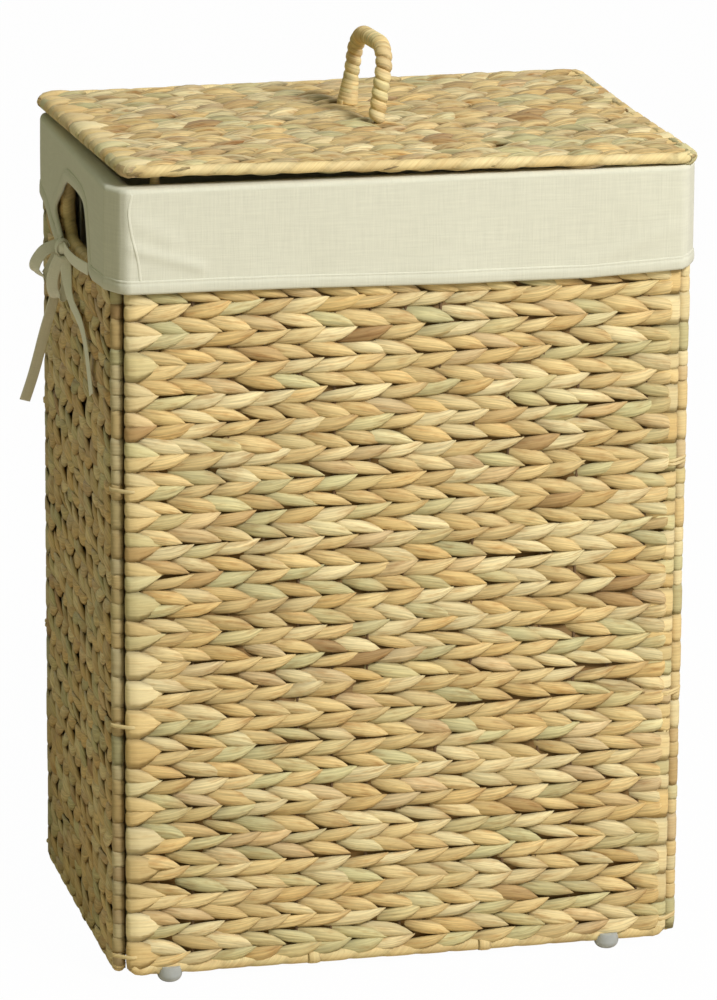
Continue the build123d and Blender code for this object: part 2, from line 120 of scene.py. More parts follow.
# One leaf wrapped round a panel's side wire, from the hidden face to its tip on the shown one:
# reach from the edge and lift in millimetres, rise and half-width in row heights, the half-width
# where the rows end, and half-thickness in millimetres
WRAP_REACH = np.array([9.0, 3.4, 1.5, 0.8, 1.5, 3.4, 9.0, 15.0, 20.5, 25.0, 27.5])
WRAP_LIFT = np.array([-4.2, -3.9, -2.3, 0.0, 2.3, 4.0, 4.9, 4.7, 4.0, 2.9, 1.6])
WRAP_RISE = np.array([0.0, 0.0, 0.0, 0.0, 0.0, 0.01, 0.08, 0.2, 0.33, 0.45, 0.5])
WRAP_HALF_WIDTH = np.array([0.3, 0.5, 0.52, 0.53, 0.53, 0.54, 0.53, 0.42, 0.27, 0.1, 0.02])
FAR_HALF_WIDTH = np.array([0.3, 0.5, 0.52, 0.53, 0.53, 0.54, 0.55, 0.55, 0.53, 0.48, 0.4])
WRAP_HALF_THICKNESS = np.array([0.5, 0.8, 0.9, 0.9, 0.9, 1.0, 1.2, 1.3, 1.2, 0.8, 0.4])
WRAP_SIDES = 6
# The first step that lies on the shown face, and the painted shade of each step, darkest on the hidden face
WRAP_FACE = 6
WRAP_PAINTED_SHADE = np.interp(np.arange(len(WRAP_REACH)), [0, 3, WRAP_FACE, 9, 10], [0.75, 0.9, 1.0, 0.97, 0.9])

# Winding of the handle: share of the way along its wire, then the pitch of the turns, half-width and
# half-thickness of the strand and the radius that it is wound at, in millimetres
HANDLE_WINDING = np.array([
    (0.00, 7.6, 4.4, 2.9, 3.4), (0.30, 7.4, 4.3, 2.9, 3.4), (0.36, 3.3, 2.2, 2.0, 4.3),
    (0.64, 3.2, 2.2, 2.0, 4.3), (0.70, 7.0, 4.1, 2.8, 3.3), (0.88, 7.0, 4.0, 2.5, 3.4),
    (0.90, 3.0, 3.4, 1.2, 5.0), (1.00, 3.0, 3.4, 1.2, 6.6)])

# The side walls' leaf is painted darker and warmer than the front's: painted shade
SIDE_PAINTED_SHADE = np.array([0.86, 0.82, 0.76])

# Height of the cuff's fold over the rim, in millimetres
CUFF_TOP = 584.0

# Notch and hem of the cuff on the left side, from front to rear: y of the column at the rim, then
# y and z of the lower edge that it runs down to
SIDE_EDGE = np.array([
    (-129.0, -129.0, 511.2), (-116.0, -116.0, 511.0), (-100.0, -100.0, 509.8), (-85.0, -84.0, 509.0),
    (-76.0, -74.5, 510.8), (-70.0, -70.5, 517.5), (-65.0, -65.5, 530.0), (-60.0, -59.0, 544.0),
    (-53.0, -52.5, 554.0), (-41.0, -40.0, 558.0), (-26.0, -25.5, 559.2), (-11.0, -11.0, 559.5),
    (3.0, 3.0, 559.3), (14.0, 13.5, 558.0), (23.0, 22.5, 554.2), (32.0, 31.5, 547.5),
    (45.0, 45.0, 539.0), (56.0, 54.5, 530.8), (63.0, 48.5, 523.8), (69.0, 38.0, 518.0),
    (74.0, 29.0, 512.0), (78.0, 24.5, 506.5), (83.0, 38.0, 505.3), (89.0, 62.0, 509.0),
    (99.0, 85.0, 515.4), (111.0, 104.0, 521.6), (121.0, 119.0, 525.0), (129.0, 129.0, 526.0)])
# Hem along the front: share of the way from the middle to a corner, and z
FRONT_EDGE = np.array([(-1.0, 511.2), (-0.5, 510.4), (0.0, 508.4), (0.65, 507.2), (1.0, 510.4)])
# Hem along the back, a parabola: z in the middle, and how far it rises to the corners
BACK_EDGE = (518.0, 8.0)

# Seam down the cuff's front, x and z
SEAM_LINE = ((-197.6, 581.5), (-199.2, 574.0), (-199.8, 568.0), (-199.0, 559.2), (-197.6, 551.2),
             (-195.5, 542.4), (-193.3, 532.2), (-191.9, 519.0))

# Creases that folding and tying leave in the cuff: where each starts and ends, as the way round from
# the front's left end and the height, then its width and depth
CREASES = (((5, 542), (51, 528), 4.0, 1.2), ((8, 560), (30, 548), 7.0, 0.7),
           ((330, 516), (392, 540), 6.0, 0.6), ((150, 514), (230, 520), 7.0, 0.5))

# Openings of the bag behind the hand holes: half of their length, their lower and upper edges, and
# the x that they lie beyond
BAG_OPENING = (53, 504, 568, 185)

# Tape routes of the left bow, in millimetres, from the knot outwards
STRAP_ROUTE = ((-215.4, -72.0, 513.2), (-216.4, -48.0, 510.8), (-216.8, -20.0, 508.6),
               (-215.8, 4.0, 507.8), (-215.0, 20.5, 507.8))
REAR_LOOP_ROUTE = ((-215.8, 33.0, 507.5), (-224.5, 33.0, 505.5), (-230.0, 33.0, 501.4),
                   (-235.5, 33.0, 492.0), (-230.5, 33.0, 486.0), (-226.5, 33.0, 482.8),
                   (-222.0, 33.0, 491.0), (-218.0, 33.0, 499.0), (-216.0, 33.0, 503.5))
FRONT_LOOP_ROUTE = ((-215.5, 19.5, 501.5), (-213.8, 19.5, 495.0), (-212.8, 19.5, 485.0),
                    (-213.6, 19.5, 475.5), (-218.4, 19.5, 470.5), (-223.4, 19.5, 474.5),
                    (-224.4, 19.5, 484.0), (-221.5, 19.5, 495.0), (-218.0, 19.5, 501.5))
REAR_TAIL_ROUTE = ((-216.0, 38.0, 502.0), (-216.0, 41.0, 484.0), (-218.5, 44.0, 463.0),
                   (-224.5, 46.0, 442.0), (-229.8, 46.0, 421.0), (-235.0, 46.0, 403.0),
                   (-240.0, 46.0, 389.0))
FRONT_TAIL_ROUTE = ((-214.8, 18.5, 502.0), (-214.5, 12.5, 484.5), (-214.5, -2.5, 473.5),
                    (-214.5, -24.5, 469.5), (-214.5, -42.5, 465.5), (-214.5, -57.0, 455.5),
                    (-214.5, -67.0, 442.5), (-214.5, -78.0, 423.5))
KNOT_PLACE = (-215.0, 25.5, 506.5)

# Camera that sees the basket as the photo does: its place in metres, its turn in degrees and the
# shift of its lens
CAMERA_PLACE = (-0.9373, -3.8358, 1.4171)
CAMERA_TURN = (74.326, -0.460, -13.618)
CAMERA_SHIFT = (-0.0015, 0.004)

# The place that the key light shines at, in metres, the way from there to the light, and half of the
# floor's width
LIT_PLACE = np.array([0.0, 0.0, 0.33])
KEY_WAY = np.array([0.35, -0.66, 0.66])
FLOOR_HALF = 6.0


def linear(code, alpha=1.0):
    """sRGB hex colour as linear red, green, blue and alpha."""
    levels = [int(code[start:start + 2], 16) / 255 for start in (1, 3, 5)]
    return tuple(c / 12.92 if c <= 0.04045 else ((c + 0.055) / 1.055) ** 2.4 for c in levels) + (alpha,)


def colour(label, note, code):
    """Colour property whose default is an sRGB hex value."""
    return FloatVectorProperty(name=label, description=note, subtype="COLOR", size=4, min=0.0, max=1.0,
                               default=linear(code))


def length(label, note, millimetres):
    """Length property whose default is given in millimetres."""
    return FloatProperty(name=label, description=note, unit="LENGTH", default=millimetres * MM)


class BASKET_PG_leaf(bpy.types.PropertyGroup):
    """Sizes and colours of the twined leaf."""
    row: length("Row height", "Height of one row of twining", 10.8)
    pitch: length("Tip pitch", "Distance between leaf tips along a row", 24.1)
    reach: length("Leaf length", "Length of one leaf from its tucked end to its tip", 42.0)
    lid_row: length("Lid row height", "Height of one row of the lid's coarser twining", 16.4)
    lid_pitch: length("Lid tip pitch", "Distance between leaf tips along a row of the lid", 22.0)
    wound_pitch: length("Binding pitch", "Distance between turns of the leaf that binds an edge", 25.0)
    hole_pitch: length("Hole binding pitch", "Distance between turns round a hand hole", 17.0)
    skew: length("Lid skew", "How much further left the lid's rear edge lies than its front one", 10.0)
    seat: length("Lid seat", "How far the lid's middle stands above its drawn place", -0.7)
    tip_right: length("Lid tip right", "How far the lid's right edge hangs down", 1.5)
    bow_right: length("Lid bow right", "How far the middle of the lid's right edge draws in", 4.0)
    tip_rear: length("Lid tip rear", "How far the lid's rear edge stands up", 0.8)
    twist: length("Lid twist", "How far the lid's corners stand up and hang down", 2.6)
    uneven: FloatProperty(name="Unevenness", description="How much leaves differ from each other",
                          subtype="FACTOR", min=0.0, max=2.0, default=1.0)
    straw: colour("Straw", "Most common leaf", "#E8CC91")
    pale: colour("Pale", "Bleached leaf", "#F2DFAC")
    sage: colour("Sage", "Green-grey leaf", "#D7CD99")
    tan: colour("Tan", "Warm leaf", "#E3C283")
    blush: colour("Blush", "Pink-tan leaf", "#E2C696")
    russet: colour("Russet", "Red-brown leaf", "#C4A06C")
    umber: colour("Umber", "Dark leaf", "#A68053")
    core: colour("Inside", "Shaded leaf deep in the weave", "#86693F")


class BASKET_PG_liner(bpy.types.PropertyGroup):
    """Sizes and colours of the cloth liner and its tapes."""
    cloth: length("Cloth", "Thickness of the liner's cloth", 1.2)
    hem: length("Hem", "Width of the hem band", 9.0)
    tape_width: length("Tape width", "Width of the bow's tape", 9.0)
    tape_thickness: length("Tape thickness", "Thickness of the bow's tape", 0.9)
    cloth_colour: colour("Cloth colour", "Unbleached cotton", "#D6D4C2")
    tape_colour: colour("Tape colour", "Unbleached cotton tape", "#EFEBDB")


class BASKET_PG_handle(bpy.types.PropertyGroup):
    """Arch of the lid's handle."""
    place: FloatVectorProperty(name="Place", description="Middle of the handle on the lid", unit="LENGTH",
                               size=3, default=(0.004, 0.017, 0.6))
    span: length("Span", "Distance between the legs", 66.0)
    crest: length("Crest", "Height of the top bar's wire", 54.0)
    bend: length("Bend", "Radius of the two corners", 18.0)
    lean: FloatProperty(name="Lean", description="Lean to the right", subtype="ANGLE",
                        default=math.radians(8.0))
    turn: FloatProperty(name="Turn", description="Turn about the upright", subtype="ANGLE",
                        default=math.radians(4.8))


class BASKET_PG_stage(bpy.types.PropertyGroup):
    """Light and camera."""
    key: FloatProperty(name="Key light", description="Power of the key light", unit="POWER", default=109.0)
    key_distance: length("Key distance", "From the basket's middle to the key light", 3500.0)
    softness: FloatProperty(name="Softness", description="Width of the key light as seen from the basket",
                            subtype="ANGLE", default=math.radians(18.0))
    fill_right: FloatVectorProperty(name="Fill from the right", description="Light from the right",
                                    subtype="COLOR", size=4, default=(0.36, 0.36, 0.36, 1.0))
    fill_left: FloatVectorProperty(name="Fill from the left", description="Dimmer light from the left",
                                   subtype="COLOR", size=4, default=(0.25, 0.265, 0.155, 1.0))
    lens: FloatProperty(name="Lens", description="Focal length on a 36 mm sensor", unit="CAMERA",
                        default=200.8)


def add_node(tree, kind, inputs=None, **settings):
    """Add a shader node with its settings, and set or link its inputs."""
    node = tree.nodes.new(kind)
    for key, value in settings.items():
        setattr(node, key, value)
    for key, value in (inputs or {}).items():
        if isinstance(value, bpy.types.NodeSocket):
            tree.links.new(value, node.inputs[key])
        else:
            node.inputs[key].default_value = value
    return node


def new_material(name, roughness, specular):
    """Empty material with its shader's steady values set."""
    material = bpy.data.materials.new(name)
    material.use_nodes = True
    shader = material.node_tree.nodes["Principled BSDF"]
    shader.inputs["Roughness"].default_value = roughness
    shader.inputs["Specular IOR Level"].default_value = specular
    return material, material.node_tree, shader


def dried_leaf(name="dried leaf", patchy=1.0):
    """Dried water-plant leaf, split and twined: satin, with long fibres and patchy colour."""
    if name in bpy.data.materials:
        return bpy.data.materials[name]
    material, tree, shader = new_material(name, roughness=0.6, specular=0.2)
    # Each point's colour, painted shade included, read from its mesh
    tone = add_node(tree, "ShaderNodeAttribute", attribute_name="leaf_tone_and_shade")
    fibre = add_node(tree, "ShaderNodeUVMap", uv_map="fibre")
    # Fibres are about 0.4 mm apart; drawn 1.4 mm apart so that they show
    along = add_node(tree, "ShaderNodeMapping",
                     {"Vector": fibre.outputs["UV"], "Scale": (1 / (36 * MM), 1 / (1.4 * MM), 1.0)})
    streak = add_node(tree, "ShaderNodeTexNoise",
                      {"Vector": along.outputs["Vector"], "Scale": 1.0, "Detail": 3.0, "Roughness": 0.6})
    broad = add_node(tree, "ShaderNodeMapping",
                     {"Vector": fibre.outputs["UV"], "Scale": (1 / (20 * MM), 1 / (4.5 * MM), 1.0)})
    patch = add_node(tree, "ShaderNodeTexNoise",
                     {"Vector": broad.outputs["Vector"], "Scale": 1.0, "Detail": 3.0, "Roughness": 0.6})
    lines = add_node(tree, "ShaderNodeMapRange",
                     {"Value": streak.outputs["Fac"], "From Min": 0.30, "From Max": 0.68,
                      "To Min": 1 - 0.34 * patchy, "To Max": 1 + 0.10 * patchy})
    stain = add_node(tree, "ShaderNodeMapRange",
                     {"Value": patch.outputs["Fac"], "From Min": 0.50, "From Max": 0.78,
                      "To Min": 0.0, "To Max": 0.7 * patchy})
    stained = add_node(tree, "ShaderNodeMix",
                       {0: stain.outputs["Result"], 6: tone.outputs["Color"], 7: linear("#C39A66")},
                       data_type="RGBA", blend_type="MULTIPLY")
    coloured = add_node(tree, "ShaderNodeMix",
                        {0: 1.0, 6: stained.outputs[2], 7: lines.outputs["Result"]},
                        data_type="RGBA", blend_type="MULTIPLY")
    tree.links.new(coloured.outputs[2], shader.inputs["Base Color"])
    bump = add_node(tree, "ShaderNodeBump",
                    {"Height": streak.outputs["Fac"], "Strength": 0.55, "Distance": 0.8 * MM})
    tree.links.new(bump.outputs["Normal"], shader.inputs["Normal"])
    return material


def creased_leaf():
    """The same leaf on the lid, more creased and stained."""
    return dried_leaf("creased dried leaf", patchy=1.5)


def smooth_leaf():
    """The same leaf laid flat in long windings: fewer fibres and patches show."""
    return dried_leaf("smooth dried leaf", patchy=0.45)


def cotton(name, code, thread, ribbed=False):
    """Plain-woven unbleached cotton: matt, with slubbed threads both ways."""
    if name in bpy.data.materials:
        return bpy.data.materials[name]
    material, tree, shader = new_material(name, roughness=0.9, specular=0.15)
    shader.inputs["Sheen Weight"].default_value = 0.12
    shader.inputs["Sheen Roughness"].default_value = 0.5
    place = add_node(tree, "ShaderNodeUVMap", uv_map="fibre")
    # Threads are about 0.5 mm apart; drawn coarser so that they show
    warp = add_node(tree, "ShaderNodeMapping",
                    {"Vector": place.outputs["UV"], "Scale": (1 / (thread * MM), 1 / (22 * MM), 1.0)})
    weft = add_node(tree, "ShaderNodeMapping",
                    {"Vector": place.outputs["UV"], "Scale": (1 / (26 * MM), 1 / (thread * MM), 1.0)})
    threads = [add_node(tree, "ShaderNodeTexNoise",
                        {"Vector": way.outputs["Vector"], "Scale": 1.0, "Detail": 2.0, "Roughness": 0.6})
               for way in (warp, weft)]
    weave = add_node(tree, "ShaderNodeMath",
                     {0: threads[0].outputs["Fac"], 1: threads[1].outputs["Fac"]}, operation="ADD")
    shade = add_node(tree, "ShaderNodeMapRange",
                     {"Value": weave.outputs["Value"], "From Min": 0.7, "From Max": 1.3,
                      "To Min": 0.93, "To Max": 1.03})
    coloured = add_node(tree, "ShaderNodeMix", {0: 1.0, 6: code, 7: shade.outputs["Result"]},
                        data_type="RGBA", blend_type="MULTIPLY")
    tree.links.new(coloured.outputs[2], shader.inputs["Base Color"])
    bump = add_node(tree, "ShaderNodeBump",
                    {"Height": weave.outputs["Value"], "Strength": 0.6 if ribbed else 0.35,
                     "Distance": 0.35 * MM})
    tree.links.new(bump.outputs["Normal"], shader.inputs["Normal"])
    return material


def powder_coated_wire(name="powder-coated steel wire"):
    """Steel wire with a thin brown powder coat: faintly pebbled, half matt."""
    if name in bpy.data.materials:
        return bpy.data.materials[name]
    material, tree, shader = new_material(name, roughness=0.5, specular=0.4)
    place = add_node(tree, "ShaderNodeTexCoord")
    pebble = add_node(tree, "ShaderNodeTexNoise",
                      {"Vector": place.outputs["Object"], "Scale": 1 / (0.9 * MM), "Detail": 1.0})
    shade = add_node(tree, "ShaderNodeMix",
                     {0: pebble.outputs["Fac"], 6: linear("#5C4630"), 7: linear("#7A6043")},
                     data_type="RGBA")
    tree.links.new(shade.outputs[2], shader.inputs["Base Color"])
    bump = add_node(tree, "ShaderNodeBump",
                    {"Height": pebble.outputs["Fac"], "Strength": 0.2, "Distance": 0.2 * MM})
    tree.links.new(bump.outputs["Normal"], shader.inputs["Normal"])
    return material


def clear_plastic():
    """Clear moulded polyethylene: cloudy, soft shine, faintly grey."""
    material, tree, shader = new_material("clear moulded polyethylene", roughness=0.3, specular=0.45)
    shader.inputs["IOR"].default_value = 1.5
    shader.inputs["Transmission Weight"].default_value = 0.45
    place = add_node(tree, "ShaderNodeTexCoord")
    haze = add_node(tree, "ShaderNodeTexNoise",
                    {"Vector": place.outputs["Object"], "Scale": 1 / (4 * MM), "Detail": 2.0})
    tint = add_node(tree, "ShaderNodeMix",
                    {0: haze.outputs["Fac"], 6: linear("#C9CFD0"), 7: linear("#E6EAEA")},
                    data_type="RGBA")
    tree.links.new(tint.outputs[2], shader.inputs["Base Color"])
    return material


def unit(vectors):
    """Vectors scaled to length one."""
    return vectors / np.maximum(np.linalg.norm(vectors, axis=-1, keepdims=True), 1e-9)


def run_along(line):
    """Way along a line at each of its points, from zero."""
    return np.concatenate([[0], np.cumsum(np.linalg.norm(np.diff(line, axis=0), axis=1))])


def tube_quads(rings, sides, copies=1, closed=False):
    """Faces of like tubes, one after another: quads between neighbouring rings, and end caps cut
    into strips of quads unless the tube closes on itself."""
    ring, side = np.meshgrid(np.arange(rings if closed else rings - 1), np.arange(sides), indexing="ij")
    ahead = (ring + 1) % rings
    turned = (side + 1) % sides
    quads = np.stack([ring * sides + side, ring * sides + turned, ahead * sides + turned,
                      ahead * sides + side], -1).reshape(-1, 4)
    if not closed:
        step = np.arange(sides // 2 - 1)
        cap = np.stack([step, step + 1, sides - 2 - step, sides - 1 - step], -1)
        quads = np.concatenate([quads, cap[:, ::-1], cap + (rings - 1) * sides])
    starts = np.arange(copies)[:, None, None] * rings * sides
    return (quads[None] + starts).reshape(-1, 4)


def grid_quads(rows, columns, closed):
    """Faces of a grid whose rows run one below the other, closed round its columns or not."""
    row, column = np.meshgrid(np.arange(rows - 1), np.arange(columns if closed else columns - 1),
                              indexing="ij")
    beside = (column + 1) % columns
    return np.stack([row * columns + column, (row + 1) * columns + column, (row + 1) * columns + beside,
                     row * columns + beside], -1).reshape(-1, 4)


def join(*shapes):
    """Several shapes as one."""
    starts = np.cumsum([0] + [len(shape.points) for shape in shapes[:-1]])
    return Shape(np.concatenate([shape.points for shape in shapes]),
                 np.concatenate([shape.quads + start for shape, start in zip(shapes, starts)]),
                 np.concatenate([shape.tones for shape in shapes]),
                 np.concatenate([shape.fibre for shape in shapes]))


def add_piece(name, shape, material, body, slot, *replaced):
    """Put a shape into a mesh object that rides on a body and stands for CAD nodes."""
    mesh = bpy.data.meshes.new(name)
    mesh.vertices.add(len(shape.points))
    mesh.vertices.foreach_set("co", (shape.points * MM).astype(np.float32).ravel())
    mesh.loops.add(shape.quads.size)
    mesh.loops.foreach_set("vertex_index", shape.quads.astype(np.int32).ravel())
    mesh.polygons.add(len(shape.quads))
    mesh.polygons.foreach_set("loop_start", np.arange(0, shape.quads.size, 4, dtype=np.int32))
    mesh.polygons.foreach_set("use_smooth", np.ones(len(shape.quads), bool))
    mesh.update(calc_edges=True)
    tones = np.concatenate([shape.tones, np.ones((len(shape.points), 1))], 1)
    layer = mesh.attributes.new("leaf_tone_and_shade", "FLOAT_COLOR", "POINT")
    layer.data.foreach_set("color", tones.astype(np.float32).ravel())
    fibre = (shape.fibre * MM)[shape.quads.ravel()]
    mesh.uv_layers.new(name="fibre").uv.foreach_set("vector", fibre.astype(np.float32).ravel())
    mesh.validate()
    mesh.materials.append(material)
    piece = bpy.data.objects.new(name, mesh)
    bpy.context.scene.collection.objects.link(piece)
    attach(piece, body)
    if replaced:
        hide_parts(*replaced)
    return piece


def node_box(name):
    """Lowest and highest corner of a CAD node, in millimetres."""
    return [np.array(corner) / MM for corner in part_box(name)]


def wall_panel(name, right, up, skew=0.0):
    """Corner, directions and size of a panel, read from its CAD binding, before any skew."""
    low, high = node_box(f"{name}_binding")
    right, up = np.array(right, float), np.array(up, float)
    width, height = abs((high - low) @ right) - skew, abs((high - low) @ up)
    origin = (low + high) / 2 - right * width / 2 - up * height / 2
    return Panel(origin, right, up, np.cross(right, up), width, height)


def on_panel(panel, along, above, outward):
    """Points of a panel from their distances along its rows, above its foot and out of its middle."""
    return (panel.origin + along[..., None] * panel.right + above[..., None] * panel.up
            + outward[..., None] * panel.out)


def leaf_tones(rng, count):
    """Random leaf colours: mostly straw, some paler or greener, a few brown, each a little lighter
    or darker."""
    leaf = bpy.context.scene.basket_leaf
    palette = np.array([leaf.straw, leaf.pale, leaf.sage, leaf.tan, leaf.blush, leaf.russet,
                        leaf.umber])[:, :3]
    picks = rng.choice(len(palette), size=count, p=TONE_SHARES)
    others = rng.choice(len(palette), size=count, p=BLEND_SHARES)
    blend = rng.uniform(0.0, 0.45, (count, 1))
    mixed = palette[picks] * (1 - blend) + palette[others] * blend
    return mixed * rng.uniform(0.88, 1.1, (count, 1))


def wall_weave():
    """Twining of the walls and the base."""
    leaf = bpy.context.scene.basket_leaf
    return Weave(foot=5.6, row=leaf.row / MM, pitch=leaf.pitch / MM, reach=leaf.reach / MM, seat=2.6,
                 thick=1.0, wide=0.5, wrap=1.0, full=1.0, dive=1.0)


def side_weave():
    """Twining of the side walls, beaten flatter and closer."""
    return wall_weave()._replace(seat=3.9, thick=0.74, full=1.22, dive=0.5)


def lid_weave():
    """Twining of the lid, of broader and plumper leaves."""
    leaf = bpy.context.scene.basket_leaf
    return Weave(foot=4.9, row=leaf.lid_row / MM, pitch=leaf.lid_pitch / MM, reach=leaf.reach / MM,
                 seat=1.8, thick=1.35, wide=0.25, wrap=1.7, full=1.06, dive=0.9)


def row_plan(panel, weave):
    """Height of the first row's foot, row height and number of rows of a woven face."""
    rows = int(round((panel.height - 2 * weave.foot) / weave.row))
    return weave.foot, (panel.height - 2 * weave.foot) / rows, rows


def push_out(along, above, hole):
    """Points inside a hand hole's rectangle moved to its nearest side, and how deep they were."""
    middle_along, middle_above, half_along, half_above = hole
    side, rise = along - middle_along, above - middle_above
    depth_along, depth_above = half_along - np.abs(side), half_above - np.abs(rise)
    inside = (depth_along > 0) & (depth_above > 0)
    sideways = inside & (depth_along < depth_above)
    upward = inside & ~sideways
    along = np.where(sideways, middle_along + np.sign(side) * half_along, along)
    above = np.where(upward, middle_above + np.sign(rise) * half_above, above)
    return along, above, np.where(inside, np.minimum(depth_along, depth_above), 0.0)


def twined_leaves(panel, rng, weave, hole=None):
    """Leaves of one woven face. Along its length each leaf is an ellipse whose middle rises across
    the row and whose size swells and tapers: rows lean by turns, so that two make a chevron."""
    leaf = bpy.context.scene.basket_leaf
    uneven = leaf.uneven
    foot, height, rows = row_plan(panel, weave)
    pitch = weave.pitch
    tips = np.arange(2 * pitch, panel.width + 0.75 * pitch, pitch)
    row, tip = (grid.ravel() for grid in np.meshgrid(np.arange(rows), tips, indexing="ij"))
    # The upper row of each chevron lies a little back
    back = 0.14 * (np.arange(rows) % 2)
    tip = tip + (pitch * (rng.uniform(-0.1, 0.1, rows) - back))[row]
    # No leaf has its middle inside a hand hole, but for a margin
    if hole is not None:
        middle_share, margin = 0.45, 2.0
        depth = push_out(tip - middle_share * weave.reach, foot + (row + 0.5) * height, hole)[2]
        outside = depth < margin
        row, tip = row[outside], tip[outside]
    count = len(row)

    def vary(spread):
        return rng.normal(0.0, spread * uneven, (count, 1, 1)).clip(-2.5 * spread, 2.5 * spread)

    lean = np.where(row % 2 == 0, 1.0, -1.0)[:, None, None]
    share = LEAF_STEPS[None, :, None]
    turn = (np.arange(LEAF_SIDES) * 2 * np.pi / LEAF_SIDES)[None, None, :]
    reach = weave.reach * (1 + vary(0.08))
    half_width = LEAF_HALF_WIDTH[None, :, None] * weave.full * height * (1 + vary(0.09))
    half_thickness = LEAF_HALF_THICKNESS[None, :, None] * weave.thick * (1 + vary(0.1))
    roll = vary(0.14)
    across = half_width * np.cos(turn)
    deep = half_thickness * np.sign(np.sin(turn)) * np.abs(np.sin(turn)) ** 0.8
    along = tip[:, None, None] + vary(1.8) - reach * (1 - share) + 0 * across
    # Each row sways up and down along its length
    sway = 0.5 * np.sin(along / 55 + 2.4 * row[:, None, None]) * uneven
    middle = foot + (row[:, None, None] + 0.5) * height + sway
    rise = lean * height * (LEAF_RISE[None, :, None] + vary(0.05))
    above = middle + rise + across * np.cos(roll) - deep * np.sin(roll)
    outward = (weave.seat + LEAF_LIFT[None, :, None] * weave.dive + vary(0.3) + across * np.sin(roll)
               + deep * np.cos(roll))
    # Past the last stake a leaf turns in behind the binding
    near_edge, ease, start_edge = 9.0, 12.0, 5.0
    over = np.maximum(along - panel.width + near_edge, 0.0)
    along = np.clip(along - over + near_edge / 2 * np.tanh(over / ease), start_edge, None)
    outward = outward - 1.6 * np.minimum(over / ease, 1.0)
    # Beside a hand hole the leaves are pushed together and sink
    if hole is not None:
        along, above, depth = push_out(along, above, hole)
        outward = outward - 0.35 * depth
    tones = leaf_tones(rng, count)[:, None, None, :]
    # Painted shade: a leaf is darker along its two edges, where it meets its neighbours
    edge = 1 - 0.32 * weave.thick * np.abs(np.cos(turn)) ** 4
    shade = LEAF_PAINTED_SHADE[None, :, None] * edge
    # Some leaves brown towards their tips
    rust = np.array(leaf.russet)[:3]
    brown_leaves, brown_from, brown_run, brown_most = 0.22, 0.55, 0.45, 0.6
    browned = rng.random((count, 1, 1, 1)) < brown_leaves
    rusty = (np.clip(share - brown_from, 0, brown_run) / brown_run)[..., None] * brown_most * browned
    coloured = (tones * (1 - rusty) + rust * rusty) * shade[..., None]
    start = rng.uniform(0, FIBRE_SPREAD, (count, 1, 1, 2))
    fibre = np.stack([reach * share + 0 * across, across + 0 * along], -1) + start
    points = on_panel(panel, along, above, outward)
    return Shape(points.reshape(-1, 3), tube_quads(len(LEAF_STEPS), LEAF_SIDES, count),
                 coloured.reshape(-1, 3), fibre.reshape(-1, 2))


def edge_wraps(panel, rng, weave, corner=0.0, trim=0.0):
    """Leaves wrapped round the two side wires: a flat strip carried round the wire and along the
    face to a point on a chevron's middle line, either one for both of its rows or one for each.
    Rows beside a rounded corner draw in, and a trim keeps the wraps that far inside the edge."""
    foot, height, rows = row_plan(panel, weave)
    place, lean, scale, far = [], [], [], []
    for end in (False, True):
        for row in range(0, rows, 2):
            wide = row + 1 < rows and rng.random() < weave.wide
            halves = [(row + 1.0, 0.0, 1.9)] if wide else [(row + 0.5, 1.0, 1.0)]
            if row + 1 < rows and not wide:
                halves.append((row + 1.5, -1.0, 1.0))
            for middle, way, size in halves:
                place.append(middle)
                lean.append(way)
                scale.append(size)
                far.append(end)
    count = len(place)
    place, lean, scale, far = (np.array(values)[:, None, None] for values in (place, lean, scale, far))

    def vary(spread):
        return rng.normal(0.0, spread, (count, 1, 1)).clip(-2 * spread, 2 * spread)

    turn = (np.arange(WRAP_SIDES) * 2 * np.pi / WRAP_SIDES)[None, None, :]
    outer = (np.arange(len(WRAP_REACH)) >= WRAP_FACE)[None, :, None]
    reach = WRAP_REACH[None, :, None] * np.where(outer, 1 + vary(0.07), 1.0)
    # Where the rows end, the strip sinks the further it comes in, and plump strips sink everywhere
    tucked = np.where(far & outer, 1.2 + 0.15 * (WRAP_REACH[None, :, None] - 5.0), 0.0)
    half_thickness = WRAP_HALF_THICKNESS[None, :, None]
    sunk = 0.6 * (weave.wrap - 1) * half_thickness
    lift = WRAP_LIFT[None, :, None] + (vary(0.2) - sunk) * np.sign(WRAP_LIFT[None, :, None]) - tucked
    half_width = np.where(far, FAR_HALF_WIDTH[None, :, None], WRAP_HALF_WIDTH[None, :, None])
    half_width = half_width * weave.full * height * scale * (1 + vary(0.03))
    # The strip's own thickness stands square to its path, in the plane of reach and lift
    path_step = np.gradient(np.stack([WRAP_REACH, WRAP_LIFT], -1), axis=0)
    square = unit(np.stack([-path_step[:, 1], path_step[:, 0]], -1))[None, :, None]
    bulge = half_thickness * weave.wrap * np.sin(turn)
    across = half_width * np.cos(turn)
    along = reach + trim + square[..., 0] * bulge
    outward = lift + square[..., 1] * bulge + 0 * across
    above = foot + place * height + lean * height * WRAP_RISE[None, :, None] + across
    if corner:
        low = np.clip(corner - np.minimum(above, panel.height - above), 0, corner)
        along = along + corner - np.sqrt(corner ** 2 - low ** 2)
    along = np.where(far, panel.width - along, along)
    # Painted shade on the hidden face and along each strip's two edges
    shade = WRAP_PAINTED_SHADE[None, :, None] * (1 - 0.3 * np.abs(np.cos(turn)) ** 4)
    run = run_along(np.stack([WRAP_REACH, WRAP_LIFT], -1))
    start = rng.uniform(0, FIBRE_SPREAD, (count, 1, 1, 2))
    fibre = np.stack([run[None, :, None] + 0 * across, across + 0 * along], -1) + start
    points = on_panel(panel, along, above, outward)
    quads = tube_quads(len(WRAP_REACH), WRAP_SIDES, count).reshape(count, -1, 4)
    quads = np.where(far, quads[:, :, ::-1], quads).reshape(-1, 4)
    tones = leaf_tones(rng, count)[:, None, None] * shade[..., None]
    return Shape(points.reshape(-1, 3), quads, tones.reshape(-1, 3), fibre.reshape(-1, 2))


